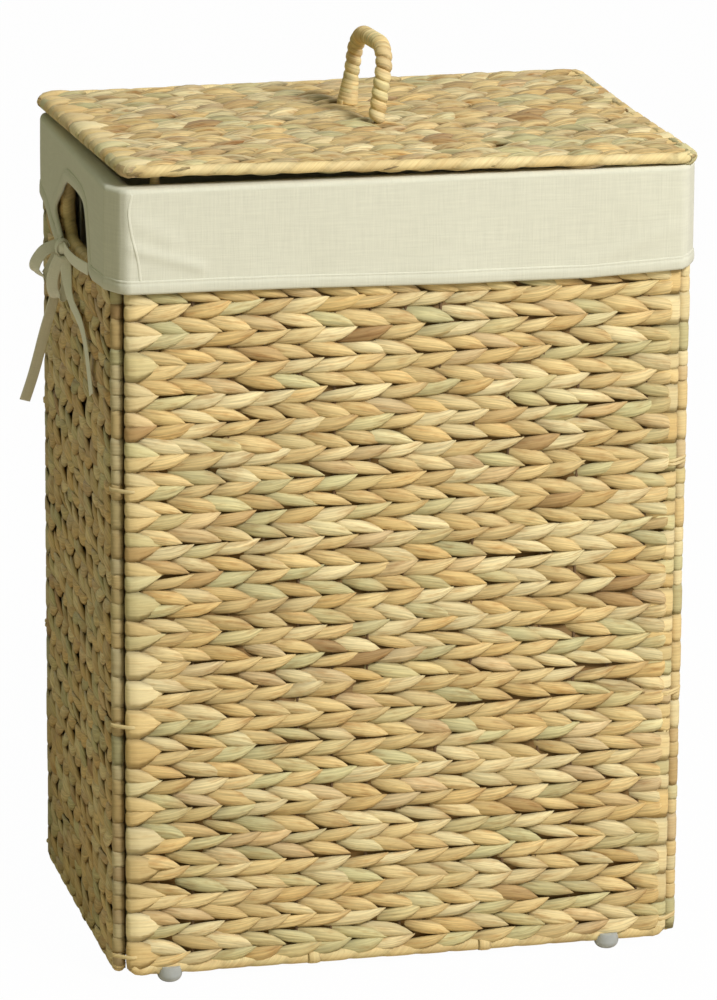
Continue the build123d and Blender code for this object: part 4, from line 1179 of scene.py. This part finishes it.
class BASKET_OT_sew_liner(bpy.types.Operator):
    """Sew the liner: bag, cuff folded over the rim, hem band and seams."""
    bl_idname = "basket.sew_liner"
    bl_label = "Sew liner"

    def execute(self, context):
        liner = context.scene.basket_liner
        cloth = cotton("unbleached cotton cloth", tuple(liner.cloth_colour), thread=1.3)
        cuff = self.cuff(cloth, liner)
        hem = self.hem(cloth, liner)
        bag = self.bag(cloth, liner)
        return {"FINISHED"}

    def thicken(self, piece, thickness, offset):
        """Give a cloth its thickness."""
        solid = piece.modifiers.new("cloth", "SOLIDIFY")
        solid.thickness = thickness
        solid.offset = offset
        return piece

    def cuff(self, cloth, liner):
        """Rows of loops: in over the rim, round the fold, then down to the lower edge, each column
        drawn sideways late in its run where the tie pulls it."""
        plan, normal, ahead, edge, shift, run, sizes = cuff_plan()
        half_x, half_y, radius, across, along, turn = sizes
        fold = 3.0
        angle = np.radians([12, 30, 48, 66, 82])
        turned_in = np.array([15.0, 11.5, 8.0, 5.0])
        insets = np.concatenate([turned_in, fold - fold * np.sin(angle)])
        heights = np.concatenate([np.full(len(turned_in), CUFF_TOP), CUFF_TOP - fold + fold * np.cos(angle)])
        rows = []
        for inset, height in zip(insets, heights):
            loop = cuff_loop(half_x - inset, half_y - inset, max(radius - inset, 3.0), across, along, turn)[0]
            rows.append(upright(loop, height))
        share = np.linspace(0, 1, 32)[:, None]
        height = CUFF_TOP - fold + (edge - CUFF_TOP + fold) * share
        slide = shift * share ** 6
        relief = cuff_relief(run + slide, height)
        flat = plan + ahead * slide[..., None] + normal * relief[..., None]
        points = np.concatenate([np.stack(rows), np.concatenate([flat, height[..., None]], -1)])
        drop = np.concatenate([-insets - fold, (CUFF_TOP - height).mean(1)])[:, None]
        quads = grid_quads(len(points), len(plan), True)
        piece = add_piece("liner_cuff_cloth", cloth_shape(points, quads, run, drop), cloth, "basket",
                          "liner_cloth", "liner_cuff")
        return self.thicken(piece, liner.cloth, 0.0)

    def hem(self, cloth, liner):
        """Flat band with a stitched groove, carried along the cuff's whole lower edge."""
        plan, normal, ahead, edge, shift, run = cuff_plan()[:-1]
        way_round = run + shift
        step = unit(np.stack([np.gradient(way_round), np.gradient(edge)], -1))
        relief = cuff_relief(way_round, edge)
        line = plan + ahead * shift[:, None] + normal * relief[:, None]
        path = np.concatenate([line, edge[:, None]], 1)
        flat_normal = np.concatenate([normal, np.zeros((len(plan), 1))], 1)
        flat_ahead = np.concatenate([ahead, np.zeros((len(plan), 1))], 1)
        side = -step[:, 1:] * flat_ahead + step[:, :1] * UP
        width = liner.hem / MM
        profile = np.array([(width + 0.2, 0.5), (width - 0.3, 1.25), (width - 1.1, 1.45), (width - 1.7, 1.1),
                            (width - 2.3, 1.5), (width / 2, 1.65), (1.0, 1.6), (-0.5, 1.0), (-0.8, 0.0),
                            (-0.5, -0.8), (width / 2, -0.9), (width, -0.4)])[None]
        points = sweep(path, side, flat_normal, profile)
        quads = tube_quads(len(path), profile.shape[1], closed=True)
        shape = cloth_shape(points, quads, way_round[:, None], profile[..., 0])
        seams = [self.seam(-1), self.seam(1)]
        return add_piece("liner_hem_cloth", join(shape, *seams), cloth, "basket", "liner_cloth",
                         "liner_hem", "left_notch_binding", "right_notch_binding")

    def seam(self, face):
        """Raised seam down the cuff's front, and the same on its back at the other end."""
        x, z = through(SEAM_LINE, 6).T
        half_y = cuff_plan()[-1][1]
        front_end, half_width, half_thickness = -201.5, 1.1, 0.45
        y = face * (half_y + half_thickness + cuff_relief(np.abs(x - front_end), z))
        path = np.stack([-face * x, y, z], -1)
        return strip(path, (1.0, 0, 0), half_width, half_thickness, np.ones(3), sides=8)

    def bag(self, cloth, liner):
        """Rows of loops down the inside of the walls and in across the floor to a line, open behind
        the hand holes."""
        half_x, half_y = node_box("liner_bag")[1][:2] - 0.7
        radius = 10.0
        half_opening, sill, lintel, beyond = BAG_OPENING
        opening = half_opening / (half_y - radius)
        along = np.unique(np.concatenate([np.linspace(-1, 1, 41), [-opening, opening]]))
        across = np.linspace(-1, 1, 60)
        turn = np.linspace(0, np.pi / 2, 6)[1:-1]
        # Down the walls, round the lower edge and in across the floor
        floor, floor_height = np.array([30.0, 60.0, 90.0, 115.0, half_y]), 28.7
        bend_in, bend_heights, bend_start = np.array([1.2, 5.0, 11.0]), [35.0, 30.5, 28.9], 42
        rim_heights = [583.6, 580.0, 574.0]
        heights = np.concatenate([rim_heights, np.linspace(lintel, sill, 12),
                                  np.linspace(sill, bend_start, 40)[1:], bend_heights,
                                  np.full(len(floor), floor_height)])
        upright_rows = len(heights) - len(bend_in) - len(floor)
        insets = np.concatenate([np.zeros(upright_rows), bend_in, floor])
        base, normal = mouth_loop(half_x, half_y, radius, across, along, turn)[:2]
        run = run_along(base)
        rows = []
        for inset, height in zip(insets, heights):
            bend = min(max(radius - inset * 0.3, 4.0), half_y - inset)
            loop = mouth_loop(half_x - inset, half_y - inset, bend, across, along, turn)[0]
            # The cloth lies smooth at the rim and on the floor, and hangs in shallow waves between
            slack = np.clip((580 - height) / 60, 0, 1) * np.clip((height - 30) / 40, 0, 1)
            waves = 0.7 * np.sin(run / 29 + height / 160) + 0.4 * np.sin(run / 13 - height / 90)
            fold = slack * (1.1 + waves)
            rows.append(upright(loop - normal * fold[:, None], height))
        points = np.stack(rows)
        drop = run_along(np.stack([heights, insets], -1))[:, None]
        quads = grid_quads(len(points), len(base), True)
        x, y, z = points.reshape(-1, 3)[quads].mean(1).T
        hole = (np.abs(y) < half_opening) & (z > sill) & (z < lintel) & (np.abs(x) > beyond)
        piece = add_piece("liner_bag_cloth", cloth_shape(points, quads[~hole], run, drop), cloth, "basket",
                          "liner_cloth", "liner_bag")
        weld = piece.modifiers.new("floor seam", "WELD")
        weld.merge_threshold = 0.05 * MM
        return self.thicken(piece, liner.cloth, -1.0)


def spline_points(name, route):
    """Points along a smooth line that a route steers, read from its spline."""
    curve = bpy.data.curves.new(name, "CURVE")
    curve.dimensions = "3D"
    curve.resolution_u = 12
    spline = curve.splines.new("NURBS")
    spline.points.add(len(route) - 1)
    points = np.concatenate([np.array(route) * MM, np.ones((len(route), 1))], 1)
    spline.points.foreach_set("co", points.astype(np.float32).ravel())
    spline.order_u = 3
    spline.use_endpoint_u = True
    holder = bpy.data.objects.new(name, curve)
    mesh = bpy.data.meshes.new_from_object(holder)
    line = np.empty(len(mesh.vertices) * 3, np.float32)
    mesh.vertices.foreach_get("co", line)
    bpy.data.objects.remove(holder)
    bpy.data.curves.remove(curve)
    bpy.data.meshes.remove(mesh)
    return line.reshape(-1, 3).astype(float) / MM


class BASKET_OT_tie_bows(bpy.types.Operator):
    """Tie the tape bows that close the cuff's notches."""
    bl_idname = "basket.tie_bows"
    bl_label = "Tie bows"

    def execute(self, context):
        liner = context.scene.basket_liner
        tape = cotton("cotton twill tape", tuple(liner.tape_colour), thread=0.9, ribbed=True)
        # Each tape: its route, the way its width faces at the knot and further out, and how it ends and lies
        plans = (
            ("strap", STRAP_ROUTE, (0, 0, 1), (0, 0, 1), "object", "taut"),
            ("rear_loop", REAR_LOOP_ROUTE, (0.1, 0.35, 0.93), (-0.7, 0.55, 0.45), "object", "loose"),
            ("front_loop", FRONT_LOOP_ROUTE, (-0.85, 0.45, 0.2), (-0.85, 0.45, 0.2), "object", "loose"),
            ("rear_tail", REAR_TAIL_ROUTE, (0.5, 1, 0), (1, 0.25, 0.2), "bare", "hanging"),
            ("front_tail", FRONT_TAIL_ROUTE, (0.6, 0, 0.8), (0.1, -0.5, 0.9), "bare", "hanging"),
        )
        for side, sign in (("left", 1), ("right", -1)):
            flip = np.array([sign, 1, 1])
            knot = self.knot(side, flip, tape)
            for kind, route, first, last, far_end, lay in plans:
                path = spline_points(kind, np.array(route) * flip)
                share = np.linspace(0, 1, len(path))[:, None]
                # The tape turns over in the first third of its way
                ease = np.clip(share * 3, 0, 1)
                hint = unit((np.array(first) * (1 - ease) + np.array(last) * ease) * flip)
                shape = strip(path, hint, liner.tape_width / MM / 2, liner.tape_thickness / MM / 2,
                              np.ones(3), sides=12, square=0.6)
                piece = add_piece(f"{side}_bow_{kind}", shape, tape, "basket", "cotton_tape",
                                  f"{side}_tie_{kind}")
        return {"FINISHED"}

    def knot(self, side, flip, tape):
        """Pulled knot: a lumpy ball, with a turn of tape about it."""
        share = np.linspace(0.02, 0.98, 15)
        centre = np.array(KNOT_PLACE)
        ball_length, tilt, half_width, half_thickness = 13.0, -2.5, 5.2, 4.4
        path = centre + np.stack([0 * share, ball_length * (share - 0.5), tilt * (share - 0.5)], -1)
        swell = np.sin(share * np.pi) ** 0.55
        lump = 1 + 0.1 * np.sin(share * 9.0)
        ball = strip(path * flip, UP, half_width * swell * lump, half_thickness * swell, np.ones(3),
                     sides=14, square=0.8)
        angle = np.linspace(0, 2 * np.pi, 33)[:-1][:, None]
        outward, upward = np.array([[1.0, 0, 0.1]]) * 4.9, np.array([[0, 0.15, 1.0]]) * 5.9
        ring = centre + outward * np.cos(angle) + upward * np.sin(angle)
        turn = strip((ring * flip)[::int(flip[0])], (0, 1.0, 0), 3.6 + 0.5 * np.sin(angle[:, 0]), 0.75,
                     np.ones(3), sides=8, square=0.7, closed=True)
        return add_piece(f"{side}_bow_knot", join(ball, turn), tape, "basket", "cotton_tape",
                         f"{side}_tie_knot")


class BASKET_OT_finish_hardware(bpy.types.Operator):
    """Give the wires and feet their finishes."""
    bl_idname = "basket.finish_hardware"
    bl_label = "Finish wires and feet"

    def execute(self, context):
        finishes = {("_frame", "_stakes", "_core"): powder_coated_wire(), ("_foot",): clear_plastic()}
        for name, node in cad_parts.items():
            for endings, finish in finishes.items():
                if name.endswith(endings):
                    node.data.materials.clear()
                    node.data.materials.append(finish)
        return {"FINISHED"}


class BASKET_OT_set_stage(bpy.types.Operator):
    """Set the floor, the light and the camera."""
    bl_idname = "basket.set_stage"
    bl_label = "Set stage"

    def execute(self, context):
        scene = context.scene
        stage = scene.basket_stage
        scene.view_settings.view_transform = "Standard"
        self.floor()
        self.sky(scene, stage)
        lamp = bpy.data.lights.new("key light", "AREA")
        lamp.shape = "DISK"
        lamp.size = 2 * stage.key_distance * math.tan(stage.softness / 2)
        lamp.energy = stage.key
        key = bpy.data.objects.new("key light", lamp)
        way = unit(KEY_WAY)
        key.location = LIT_PLACE + way * stage.key_distance
        key.rotation_euler = (math.acos(way[2]), 0.0, math.atan2(way[1], way[0]) + np.pi / 2)
        key.visible_camera = False
        scene.collection.objects.link(key)
        lens = bpy.data.cameras.new("camera")
        lens.lens = stage.lens
        lens.sensor_width = 36.0
        lens.shift_x, lens.shift_y = CAMERA_SHIFT
        lens.clip_end = 50.0
        camera = bpy.data.objects.new("camera", lens)
        camera.location = CAMERA_PLACE
        camera.rotation_euler = tuple(math.radians(angle) for angle in CAMERA_TURN)
        scene.collection.objects.link(camera)
        scene.camera = camera
        return {"FINISHED"}

    def floor(self):
        """Pale warm floor; the camera sees it nearly as bright as the backdrop, with a trace of the
        shadow."""
        material, tree, shader = new_material("pale studio floor", roughness=0.9, specular=0.1)
        shader.inputs["Base Color"].default_value = linear("#D6CDBB")
        path = add_node(tree, "ShaderNodeLightPath")
        glow = add_node(tree, "ShaderNodeEmission", {"Color": (1, 1, 1, 1), "Strength": 1.0})
        seen = add_node(tree, "ShaderNodeMath", {0: path.outputs["Is Camera Ray"], 1: 0.985},
                        operation="MULTIPLY")
        mixed = add_node(tree, "ShaderNodeMixShader",
                         {0: seen.outputs["Value"], 1: shader.outputs["BSDF"], 2: glow.outputs["Emission"]})
        tree.links.new(mixed.outputs["Shader"], tree.nodes["Material Output"].inputs["Surface"])
        mesh = bpy.data.meshes.new("floor")
        corners = [(x * FLOOR_HALF, y * FLOOR_HALF, 0) for x, y in ((-1, -1), (1, -1), (1, 1), (-1, 1))]
        mesh.from_pydata(corners, [], [(0, 1, 2, 3)])
        mesh.materials.append(material)
        floor = bpy.data.objects.new("floor", mesh)
        bpy.context.scene.collection.objects.link(floor)

    def sky(self, scene, stage):
        """Soft light from all round, dimmer from the left, and plain white where the camera, gloss or
        glass looks past."""
        world = bpy.data.worlds.new("studio")
        world.use_nodes = True
        tree = world.node_tree
        path = add_node(tree, "ShaderNodeLightPath")
        first = add_node(tree, "ShaderNodeMath",
                         {0: path.outputs["Is Camera Ray"], 1: path.outputs["Is Glossy Ray"]},
                         operation="MAXIMUM")
        seen = add_node(tree, "ShaderNodeMath",
                        {0: first.outputs["Value"], 1: path.outputs["Is Transmission Ray"]},
                        operation="MAXIMUM")
        way = add_node(tree, "ShaderNodeTexCoord")
        axes = add_node(tree, "ShaderNodeSeparateXYZ", {"Vector": way.outputs["Generated"]})
        right = add_node(tree, "ShaderNodeMapRange",
                         {"Value": axes.outputs["X"], "From Min": -0.4, "From Max": 0.4})
        fill = add_node(tree, "ShaderNodeMix",
                        {0: right.outputs["Result"], 6: tuple(stage.fill_left), 7: tuple(stage.fill_right)},
                        data_type="RGBA")
        shown = add_node(tree, "ShaderNodeMix",
                         {0: seen.outputs["Value"], 6: fill.outputs[2], 7: (1, 1, 1, 1)}, data_type="RGBA")
        background = tree.nodes["Background"]
        tree.links.new(shown.outputs[2], background.inputs["Color"])
        scene.world = world


OPERATORS = (BASKET_OT_set_stage, BASKET_OT_tie_bows, BASKET_OT_weave_walls, BASKET_OT_weave_lid,
             BASKET_OT_weave_base, BASKET_OT_lash_panels, BASKET_OT_wind_handle, BASKET_OT_wrap_pegs,
             BASKET_OT_sew_liner, BASKET_OT_finish_hardware)


class BASKET_PT_sidebar(bpy.types.Panel):
    """Lists the pieces and their settings."""
    bl_idname = "BASKET_PT_sidebar"
    bl_label = "Laundry basket"
    bl_space_type = "VIEW_3D"
    bl_region_type = "UI"
    bl_category = "Basket"

    def draw(self, context):
        for operator in OPERATORS:
            self.layout.operator(operator.bl_idname)
        for name, group in SETTINGS.items():
            box = self.layout.box()
            for key in group.__annotations__:
                box.prop(getattr(context.scene, name), key)


SETTINGS = {"basket_leaf": BASKET_PG_leaf, "basket_liner": BASKET_PG_liner,
            "basket_handle": BASKET_PG_handle, "basket_stage": BASKET_PG_stage}


def register():
    for group in SETTINGS.values():
        bpy.utils.register_class(group)
    for name, group in SETTINGS.items():
        setattr(bpy.types.Scene, name, PointerProperty(type=group))
    for operator in OPERATORS:
        bpy.utils.register_class(operator)
    bpy.utils.register_class(BASKET_PT_sidebar)


def unregister():
    bpy.utils.unregister_class(BASKET_PT_sidebar)
    for operator in reversed(OPERATORS):
        bpy.utils.unregister_class(operator)
    for name, group in SETTINGS.items():
        delattr(bpy.types.Scene, name)
        bpy.utils.unregister_class(group)


def main():
    register()
    for operator in OPERATORS:
        group, name = operator.bl_idname.split(".")
        getattr(getattr(bpy.ops, group), name)()


if __name__ == "__main__":
    main()
